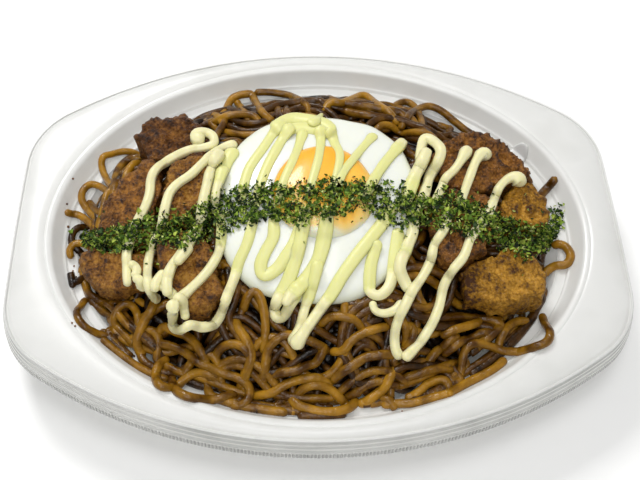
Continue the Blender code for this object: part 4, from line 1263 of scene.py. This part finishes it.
# %% Strokes placed by pixels
MAYO_STROKES = (
    (((204, 141), (198, 139), (197, 134), (205, 132), (213, 136), (214, 143), (205, 147), (192, 149), (179, 154),
      (165, 162), (155, 170), (151, 180), (150, 192), (146, 205), (138, 220), (131, 236), (127, 252), (127, 264),
      (127, 276), (128, 287)), (3.6, 2.3, 2.0)),
    (((128, 262), (135, 266), (137, 272), (133, 278)), (2.0, 2.6, 2.4)),
    (((132, 276), (140, 280), (141, 286), (148, 287)), (2.2, 2.5, 2.4)),
    (((238, 144), (227, 146), (214, 152), (202, 163), (191, 174), (178, 183), (170, 192), (166, 204), (162, 222),
      (157, 236), (151, 250), (148, 266), (148, 283), (153, 296), (161, 301)), (2.8, 2.2, 2.3)),
    (((176, 298), (168, 290), (160, 284), (153, 283)), (2.2, 2.0, 2.6)),
    (((166, 270), (160, 277), (155, 285), (157, 292)), (2.4, 2.4, 2.4)),
    (((236, 146), (229, 156), (223, 168), (217, 184), (214, 200)), (3.2, 3.0, 2.2)),
    (((221, 150), (212, 165), (207, 184), (203, 202), (200, 222), (190, 241), (179, 256), (171, 267), (167, 281),
      (168, 297)), (3.4, 2.4, 2.2)),
    (((191, 243), (183, 254), (175, 264)), (2.6, 2.9, 2.4)),
    (((224, 164), (218, 184), (215, 204), (221, 222), (221, 242), (216, 258), (205, 274), (190, 289), (178, 300)),
     (2.4, 2.1, 2.6)),
    (((172, 298), (182, 300), (184, 308), (186, 320)), (2.8, 1.9, 1.9)),
    (((173, 299), (173, 312), (173, 326), (181, 330), (190, 325), (202, 327), (213, 325), (221, 314), (227, 296),
      (234, 278), (239, 260), (247, 242), (252, 224), (256, 208)), (2.9, 2.2, 2.0)),
    (((270, 126), (281, 121), (293, 117), (305, 118), (317, 120), (328, 124), (334, 131)), (2.4, 3.0, 2.6)),
    (((279, 132), (294, 127), (311, 127), (330, 131)), (2.4, 2.8, 2.4)),
    (((284, 118), (274, 131), (264, 146), (250, 166), (244, 184), (240, 204)), (3.4, 2.1, 2.0)),
    (((292, 122), (279, 144), (267, 166), (260, 186), (256, 206)), (3.0, 2.1, 2.0)),
    (((304, 128), (300, 142), (293, 160), (284, 180), (278, 204)), (2.4, 1.8, 1.8)),
    (((320, 124), (321, 140), (319, 156), (314, 174), (308, 196)), (2.6, 1.8, 1.8)),
    (((329, 126), (335, 142), (340, 154), (337, 172), (330, 200)), (2.6, 1.8, 1.8)),
    (((309, 124), (317, 118), (323, 112)), (2.6, 1.9, 0.9)),
    (((376, 132), (366, 143), (355, 156), (343, 172), (336, 190)), (2.4, 1.8, 1.8)),
    (((404, 140), (395, 150), (384, 163), (373, 180), (362, 200)), (3.0, 2.2, 2.0)),
    (((273, 214), (274, 234), (266, 250), (261, 263), (264, 274), (276, 268), (285, 256), (294, 242), (300, 222)),
     (2.0, 2.5, 2.2)),
    (((306, 204), (304, 222), (300, 242), (295, 260), (289, 278), (282, 292), (275, 306), (277, 318), (285, 314),
      (292, 300), (300, 286)), (2.2, 2.6, 2.0)),
    (((328, 206), (326, 228), (322, 248), (317, 262), (306, 278), (293, 292), (284, 306)), (2.2, 2.8, 2.4)),
    (((319, 258), (315, 276), (310, 292), (305, 308), (300, 326), (292, 347)), (2.4, 2.2, 3.0)),
    (((394, 204), (384, 220), (373, 234), (357, 254), (342, 275), (332, 292), (318, 312), (304, 332), (293, 349)),
     (2.2, 2.6, 3.2)),
    (((379, 238), (372, 260), (370, 278), (371, 292), (380, 295), (389, 286), (393, 270), (395, 252), (399, 226)),
     (2.2, 2.4, 2.4)),
    (((414, 212), (413, 232), (405, 251), (400, 268), (406, 284), (411, 292)), (2.4, 2.7, 2.4)),
    (((404, 300), (396, 309), (385, 313), (375, 310), (372, 300)), (2.0, 1.9, 1.9)),
    (((420, 163), (421, 150), (424, 139), (432, 140), (441, 150), (438, 162), (430, 176), (424, 196), (416, 214)),
     (2.6, 2.6, 2.0)),
    (((428, 148), (422, 162), (414, 178), (408, 194), (402, 212)), (3.0, 2.9, 2.2)),
    (((469, 146), (463, 157), (455, 169), (446, 178), (440, 192), (432, 208)), (3.0, 2.1, 2.0)),
    (((490, 159), (483, 153), (476, 161), (471, 174), (466, 188), (460, 206)), (3.6, 2.2, 2.0)),
    (((448, 208), (446, 226), (435, 244), (431, 260), (423, 276), (413, 290), (406, 304), (399, 318), (395, 334),
      (396, 350), (402, 359)), (2.0, 2.2, 2.3)),
    (((521, 187), (519, 180), (513, 177), (506, 180), (499, 188), (494, 200), (488, 214), (480, 226), (471, 238),
      (464, 256), (452, 271), (444, 286), (440, 304), (434, 320), (424, 337), (412, 351), (403, 360)),
     (4.1, 2.2, 2.4)),
)
MAYO_STEP = 0.7
MAYO_SIDES = 22
MAYO_WIDTH = 0.81
# A stroke is flatter than wide; on the smooth egg it slumps, lower and wider, by this much more
MAYO_FLAT = 0.88
MAYO_SLUMP = 0.42
SLUMP_WIDER = 0.4
MAYO_SINK = 0.9
MAYO_STIFFNESS = 10
MAYO_RAISE_STEP = 0.4
MAYO_TOP_SHARE = 0.95
# Over how many mm a blob at an end eases into the stroke
MAYO_EASE = 3.2
MAYO_UNEVEN, MAYO_UNEVEN_SIZE = 0.09, 6.0
EGG_EASE_TURNS = 6
# The nozzle's star leaves faint ridges along a stroke
NOZZLE_RIDGES = 5
NOZZLE_DEPTH = 0.05


# %% Strokes laid on the food
mayo_skins = []
on_egg = []
mayo_field = food_field.copy()
egg_edge = evenly(through(EGG_OUTLINE, True), OUTLINE_STEP)[:-1]
for pixels, widths in MAYO_STROKES:
    start, between, stop = MAYO_WIDTH * np.array(widths)
    plan, height = lay(pixels, MAYO_STEP, mayo_field, between, MAYO_SINK, MAYO_STIFFNESS)
    s = np.arange(len(plan)) * MAYO_STEP
    radii = between + (start - between) * np.exp(-(np.maximum(s - start, 0.0) / MAYO_EASE) ** 2)
    radii += (stop - between) * np.exp(-(np.maximum(s[-1] - s - stop, 0.0) / MAYO_EASE) ** 2)
    spread = soften(inside(egg_edge, plan).astype(float), EGG_EASE_TURNS)
    flat = MAYO_FLAT - MAYO_SLUMP * spread
    path = np.column_stack([plan, height - (1.0 - flat) * between])
    radii = radii * (1.0 + MAYO_UNEVEN * bumps(path, MAYO_UNEVEN_SIZE) + SLUMP_WIDER * MAYO_SLUMP * spread)
    raise_field(mayo_field, strand_top(evenly(path, MAYO_RAISE_STEP), between * MAYO_TOP_SHARE))
    mayo_skins.append(strand_skin(path, radii, MAYO_SIDES, flat, NOZZLE_RIDGES, NOZZLE_DEPTH))
    on_egg += [np.repeat(spread, MAYO_SIDES), spread[[0, -1]]]
mayo_field = close_gaps(mayo_field)
print("mayonnaise strokes:", len(mayo_skins))

# %% [markdown]
# ## Finish: mayonnaise
#
# Mayonnaise is an emulsion of oil and egg, pale yellow and dense. Light scatters a few
# millimetres into it, and its surface is satin. It looks yellower on the egg, where less dark
# food lies under it, and an attribute from the laying says where that is.

# %% Mayonnaise finish and piece
def make_mayonnaise():
    """Mayonnaise: cream on the meat and yellower on the egg, fine streaks, soft scattering, a satin surface."""
    material, tree, shader = start_finish("whole_egg_mayonnaise", {
        "Roughness": 0.36, "IOR": 1.42, "Subsurface Weight": 0.4, "Subsurface Scale": 0.002,
        "Subsurface Radius": (1.0, 0.85, 0.35)})
    place = add_node(tree, "ShaderNodeTexCoord").outputs["Object"]
    cloud = add_node(tree, "ShaderNodeTexNoise", {"Vector": place, "Scale": cells_per_metre(6.67), "Detail": 2.0})
    egg = add_node(tree, "ShaderNodeAttribute", attribute_name="on_egg").outputs["Fac"]
    share = add_node(tree, "ShaderNodeMath", {0: cloud, 1: 0.3, 2: egg}, operation="MULTIPLY_ADD")
    tone = add_node(tree, "ShaderNodeValToRGB", {"Fac": share},
                    stops=((0.05, "#e0dbac"), (0.25, "#e6e0b0"), (0.9, "#d8d794"), (1.0, "#dbda93")))
    streaks = add_node(tree, "ShaderNodeTexNoise", {"Vector": place, "Scale": cells_per_metre(1.111), "Detail": 2.0})
    bump = add_node(tree, "ShaderNodeBump", {"Height": streaks, "Strength": 0.25, "Distance": 0.0004})
    set_inputs(tree, shader, {"Base Color": tone, "Normal": bump})
    return material


points, faces, _ = join_skins(mayo_skins)
TOPPED = ["egg_white", "egg_yolk", *PORK_LOOKS]
add_piece("mayonnaise_strokes", points, faces, make_mayonnaise(), TOPPED,
          {"on_egg": np.concatenate(on_egg)})

# %% [markdown]
# ## The green flakes
#
# A band of dried green seaweed and chopped herb crosses the tray from end to end. A flake is a
# thin curled chip, at most 2.6 mm long. Blender could scatter them as particles or instances,
# but only a mesh is exported as it looks, so all flakes are one mesh, made from one small chip
# by arrays. They are sown along the band's middle line with a fringe and a few strays, and each
# lies on what is under it with a random turn and tilt.

# %% Sow and shape the flakes
# Middle line of the band in pixels, each with the band's half width
BAND_LINE = ((84, 240, 9), (110, 241, 11), (140, 234, 16), (165, 231, 15), (190, 226, 17), (215, 216, 21),
             (240, 208, 19), (265, 204, 18), (285, 207, 20), (320, 203, 20), (350, 196, 18), (375, 199, 19),
             (400, 206, 19), (430, 211, 17), (460, 211, 17), (488, 224, 16), (514, 239, 15), (538, 241, 14),
             (552, 233, 12), (558, 217, 10))
FLAKES = 6400
STRAYS = 110
# Even spread as shares of the band's half width, and fringe, clumps and strays in pixels
SPREAD = (0.4, 0.95)
FRINGE_PIXELS = 2.2
CLUMP_PIXELS = 15.0
CLUMPING = 0.4
STRAY_PIXELS = 17.0
CHIP = ((-1.0, 0.0), (-0.45, 0.55), (0.4, 0.5), (1.0, 0.05), (0.35, -0.5), (-0.5, -0.42))
CHIP_SIDE = 0.1
CAST_LIFT = 0.2
FLAKE_SEED = 4
FOOD_TOP_Z = 54.9
# More than a third of the flakes are leaves, the others threads: half length in mm, and width as a share of it
LEAVES = 0.36
LEAF_HALF, THREAD_HALF = (0.65, 1.3), (0.35, 0.85)
LEAF_WIDTH, THREAD_WIDTH = (0.6, 1.0), (0.2, 0.5)
LEAF_TINT = 0.8
PILED = (0.1, 1.2)
CURL = 1.1
TILT = 0.55


def sow_flakes():
    """Pixels for the flakes: along the band's line, off it by an even spread with a fringe, and a few strays."""
    draw = np.random.default_rng(FLAKE_SEED)
    line = evenly(through(BAND_LINE, False), 1.0)
    pick = draw.integers(0, len(line), FLAKES + STRAYS)
    centre, half = line[pick, :2], line[pick, 2:]
    off = draw.uniform(-1.0, 1.0, (len(pick), 2)) * half * SPREAD
    clump = plan_bumps(centre + off, CLUMP_PIXELS)[:, None]
    off = off * (1.0 + CLUMPING * clump) + draw.normal(0.0, FRINGE_PIXELS, off.shape)
    stray = np.arange(len(pick)) >= FLAKES
    off[stray] += draw.normal(0.0, STRAY_PIXELS, off[stray].shape)
    return draw, centre + off


def turned(body, first, second, angle):
    """Turn every flake's points from one axis towards another by the flake's own angle."""
    c, s = np.cos(angle)[:, None], np.sin(angle)[:, None]
    a, b = body[..., first], body[..., second]
    result = body.copy()
    result[..., first], result[..., second] = c * a - s * b, s * a + c * b
    return result


def flake_mesh():
    """One chip's two faces and rim, curled, scaled, rolled, tilted and turned for every place at once."""
    draw, pixels = sow_flakes()
    plan = cast(pixels, mayo_field, CAST_LIFT)
    count = len(plan)
    leaf = draw.random(count) < LEAVES
    height = height_at(mayo_field, plan) + draw.uniform(*PILED, count)
    size = np.where(leaf, draw.uniform(*LEAF_HALF, count), draw.uniform(*THREAD_HALF, count))[:, None]
    width = np.where(leaf, draw.uniform(*LEAF_WIDTH, count), draw.uniform(*THREAD_WIDTH, count))[:, None]
    along, across = np.array(CHIP).T
    curl = draw.uniform(-CURL, CURL, (count, 2))
    x = along * size
    y = (across * width + curl[:, :1] * along ** 2) * size
    z = curl[:, 1:] * along ** 2 * size
    flat = np.stack([x, y, z], axis=-1)
    body = np.concatenate([flat + (0, 0, CHIP_SIDE), flat - (0, 0, CHIP_SIDE)], axis=1)
    turn, tip, roll = draw.uniform(0, 2 * math.pi, count), draw.normal(0, TILT, count), draw.normal(0, TILT, count)
    for first, second, angle in ((1, 2, roll), (2, 0, tip), (0, 1, turn)):
        body = turned(body, first, second, angle)
    points = body + np.column_stack([plan, height])[:, None]
    points[..., 2] = np.minimum(points[..., 2], FOOD_TOP_Z)
    sides = len(CHIP)
    rim = np.arange(sides)
    after = (rim + 1) % sides
    upper = np.array([[3, 4, 5, 0], [1, 2, 3, 0]])
    quads = np.vstack([np.stack([rim, after, after + sides, rim + sides], axis=-1), upper, upper[:, ::-1] + sides])
    starts = (np.arange(count) * 2 * sides)[:, None, None]
    tint = draw.random(count) * np.where(leaf, LEAF_TINT, 1.0)
    return points.reshape(-1, 3), [(quads + starts).reshape(-1, 4)], np.repeat(tint, 2 * sides)


points, faces, tint = flake_mesh()
print("flakes:", FLAKES + STRAYS)

# %% [markdown]
# ## Finish: dried seaweed and herb
#
# Dried leaf is matt and nearly opaque. More than half of the flakes are dark green, and the
# others are paler. Each flake's own number picks its green from one ramp, which spares a
# material for each shade.

# %% Flake finish and piece
def make_dried_leaf():
    """Dried green leaf: from dark to pale green by each flake's own number, and matt."""
    material, tree, shader = start_finish("dried_green_leaf", {"Roughness": 0.62, "IOR": 1.4})
    own = add_node(tree, "ShaderNodeAttribute", attribute_name="tint").outputs["Fac"]
    tone = add_node(tree, "ShaderNodeValToRGB", {"Fac": own},
                    stops=((0.0, "#0c1604"), (0.3, "#2c4a0a"), (0.55, "#6c8c22"), (0.8, "#aebf4c"), (1.0, "#d3dc90")))
    set_inputs(tree, shader, {"Base Color": tone})
    return material


add_piece("green_flakes", points, faces, make_dried_leaf(), TOPPED, {"tint": tint})

# %% [markdown]
# ## Crumbs and the ledge's nub
#
# A few brown crumbs of the crust have dropped on the tray's ledge and wall. Each is a small
# uneven grain of about a millimetre, and all of them are one mesh. The ledge also carries a low
# round nub at its far right, moulded with the sheet, which keeps stacked trays apart. It could
# be raised in the sheet's own rows, but they are too coarse there, so it is a cap set on them.

# %% Crumbs placed by pixels
CRUMB_PIXELS = ((73, 179), (68, 227), (72, 323), (75, 326), (74, 266), (73, 271), (76, 277), (297, 412), (304, 414),
                (312, 415), (319, 412), (67, 204), (402, 411), (134, 356))
CRUMB_ROWS = 5
CRUMB_SIDES = 7
CRUMB_HALF = (0.3, 0.6)
CRUMB_CAP = 0.35
CRUMB_UNEVEN, CRUMB_UNEVEN_SIZE = 0.5, 1.1
CRUMB_STANDS = 0.6
CRUMB_CAST = 0.3
CRUMB_SEED = 12


def crumb(spot, size):
    """An uneven grain: a ball of rings, each point moved in or out by the random field."""
    tilt = np.linspace(CRUMB_CAP, math.pi - CRUMB_CAP, CRUMB_ROWS)[:, None]
    turn = np.linspace(0.0, 2.0 * math.pi, CRUMB_SIDES, endpoint=False)[None, :]
    ball = np.stack([np.sin(tilt) * np.cos(turn), np.sin(tilt) * np.sin(turn), np.cos(tilt) + 0.0 * turn], axis=-1)
    uneven = CRUMB_UNEVEN * bumps(ball * size + spot, CRUMB_UNEVEN_SIZE)
    ball = ball * (1.0 + uneven)[..., None] * size + spot
    poles = spot + np.array([[0.0, 0.0, size], [0.0, 0.0, -size]])
    faces = [group[:, ::-1] for group in capped_faces(CRUMB_ROWS, CRUMB_SIDES)]
    return np.vstack([ball.reshape(-1, 3), poles]), faces


crumb_plan = cast(CRUMB_PIXELS, tray_field, CRUMB_CAST)
crumb_sizes = np.random.default_rng(CRUMB_SEED).uniform(*CRUMB_HALF, len(crumb_plan))
crumb_spots = np.column_stack([crumb_plan, height_at(tray_field, crumb_plan) + CRUMB_STANDS * crumb_sizes])
points, faces, _ = join_skins([crumb(spot, size) for spot, size in zip(crumb_spots, crumb_sizes)])
add_piece("crust_crumbs", points, faces, crusts["dark_crust"], ["noodle_heap"],
          {"crag": np.zeros(len(points))})

# %% Nub placed by a pixel
NUB_PIXEL = (516, 157)
NUB_RADIUS = 4.2
NUB_ROWS = 26
NUB_CAST = 0.5
NUB_PROFILE = ((0.02, 1.3), (0.5, 1.3), (0.8, 1.15), (0.94, 0.7), (1.0, 0.0), (1.0, -0.6), (0.02, -0.6))
nub_centre = cast((NUB_PIXEL,), tray_field, NUB_CAST)[0]
nub_outline = nub_centre + NUB_RADIUS * circle(EGG_SIDES)
nub_rings, _ = polar(nub_outline, nub_centre, NUB_PROFILE, NUB_ROWS, lambda plan: height_at(tray_field, plan))
points, faces = skin_of(nub_rings)
plain = np.zeros(len(points))
add_piece("ledge_nub", points, faces, polystyrene, ["tray"],
          {"along": plain, "ribbed": plain, "riser_shade": plain})
print("nub in plan, mm:", nub_centre.round(1))

# %% [markdown]
# ## Floor, light and camera
#
# A plain pale floor and large soft lights, as in a small product studio: a broad light above
# the far left gives the long highlights on the sauce, and weaker ones fill the shadows. An
# environment picture could light it too, but three lamps are easier to place and to change.

# %% Floor
FLOOR_SIZE = 6.0
FLOOR_GAP = 0.0005
floor_material, _, _ = start_finish("painted_board", {"Base Color": linear("#fbfbfa"), "Roughness": 0.75})
bpy.ops.mesh.primitive_plane_add(size=FLOOR_SIZE, location=(0.0, 0.0, -FLOOR_GAP))
studio_floor = bpy.context.object
studio_floor.name = "studio_floor"
studio_floor.data.materials.append(floor_material)

# %% Lights
# Name, place and size in metres, and power in watts
LIGHTS = (
    ("key_light", (-0.35, 0.75, 0.95), 0.32, 7.8),
    ("fill_light", (-0.15, -0.6, 1.0), 0.6, 4.2),
    ("top_light", (0.0, 0.05, 1.2), 0.45, 3.2),
)
LIGHT_TARGET = (0.0, 0.0, 0.03)
STEEPEST = 0.95
SURROUNDINGS = 0.37


def standing(right, up, back, place):
    """A matrix from three axes and a place: the axes are its columns, and the place is the last one."""
    rows = zip(np.column_stack([right, up, back]), place)
    return Matrix([(*row, position) for row, position in rows] + [(0.0, 0.0, 0.0, 1.0)])


def aim(place, target):
    """A matrix that stands at a place and looks along its own -Z at a target."""
    back = np.array(place) - np.array(target)
    back /= np.linalg.norm(back)
    right = np.cross((0.0, 1.0, 0.0) if abs(back[2]) > STEEPEST else (0.0, 0.0, 1.0), back)
    right /= np.linalg.norm(right)
    return standing(right, np.cross(back, right), back, place)


for name, place, size, power in LIGHTS:
    data = bpy.data.lights.new(name, "AREA")
    data.size = size
    data.energy = power
    lamp = bpy.data.objects.new(name, data)
    bpy.context.scene.collection.objects.link(lamp)
    lamp.matrix_world = aim(place, LIGHT_TARGET)

world = bpy.data.worlds.new("studio")
bpy.context.scene.world = world
world.use_nodes = True
background = world.node_tree.nodes["Background"]
background.inputs["Color"].default_value = linear("#ffffff")
background.inputs["Strength"].default_value = SURROUNDINGS
bpy.context.scene.view_settings.view_transform = "Standard"

# %% Camera
CLIP_START = 0.01
lens = bpy.data.cameras.new("camera")
lens.sensor_width = SENSOR_WIDTH
lens.lens = FOCAL_PIXELS / PICTURE_WIDTH * SENSOR_WIDTH
lens.clip_start = CLIP_START
camera = bpy.data.objects.new("camera", lens)
bpy.context.scene.collection.objects.link(camera)
camera.matrix_world = standing(RIGHT, UP, BACK, EYE * MM)
bpy.context.scene.camera = camera
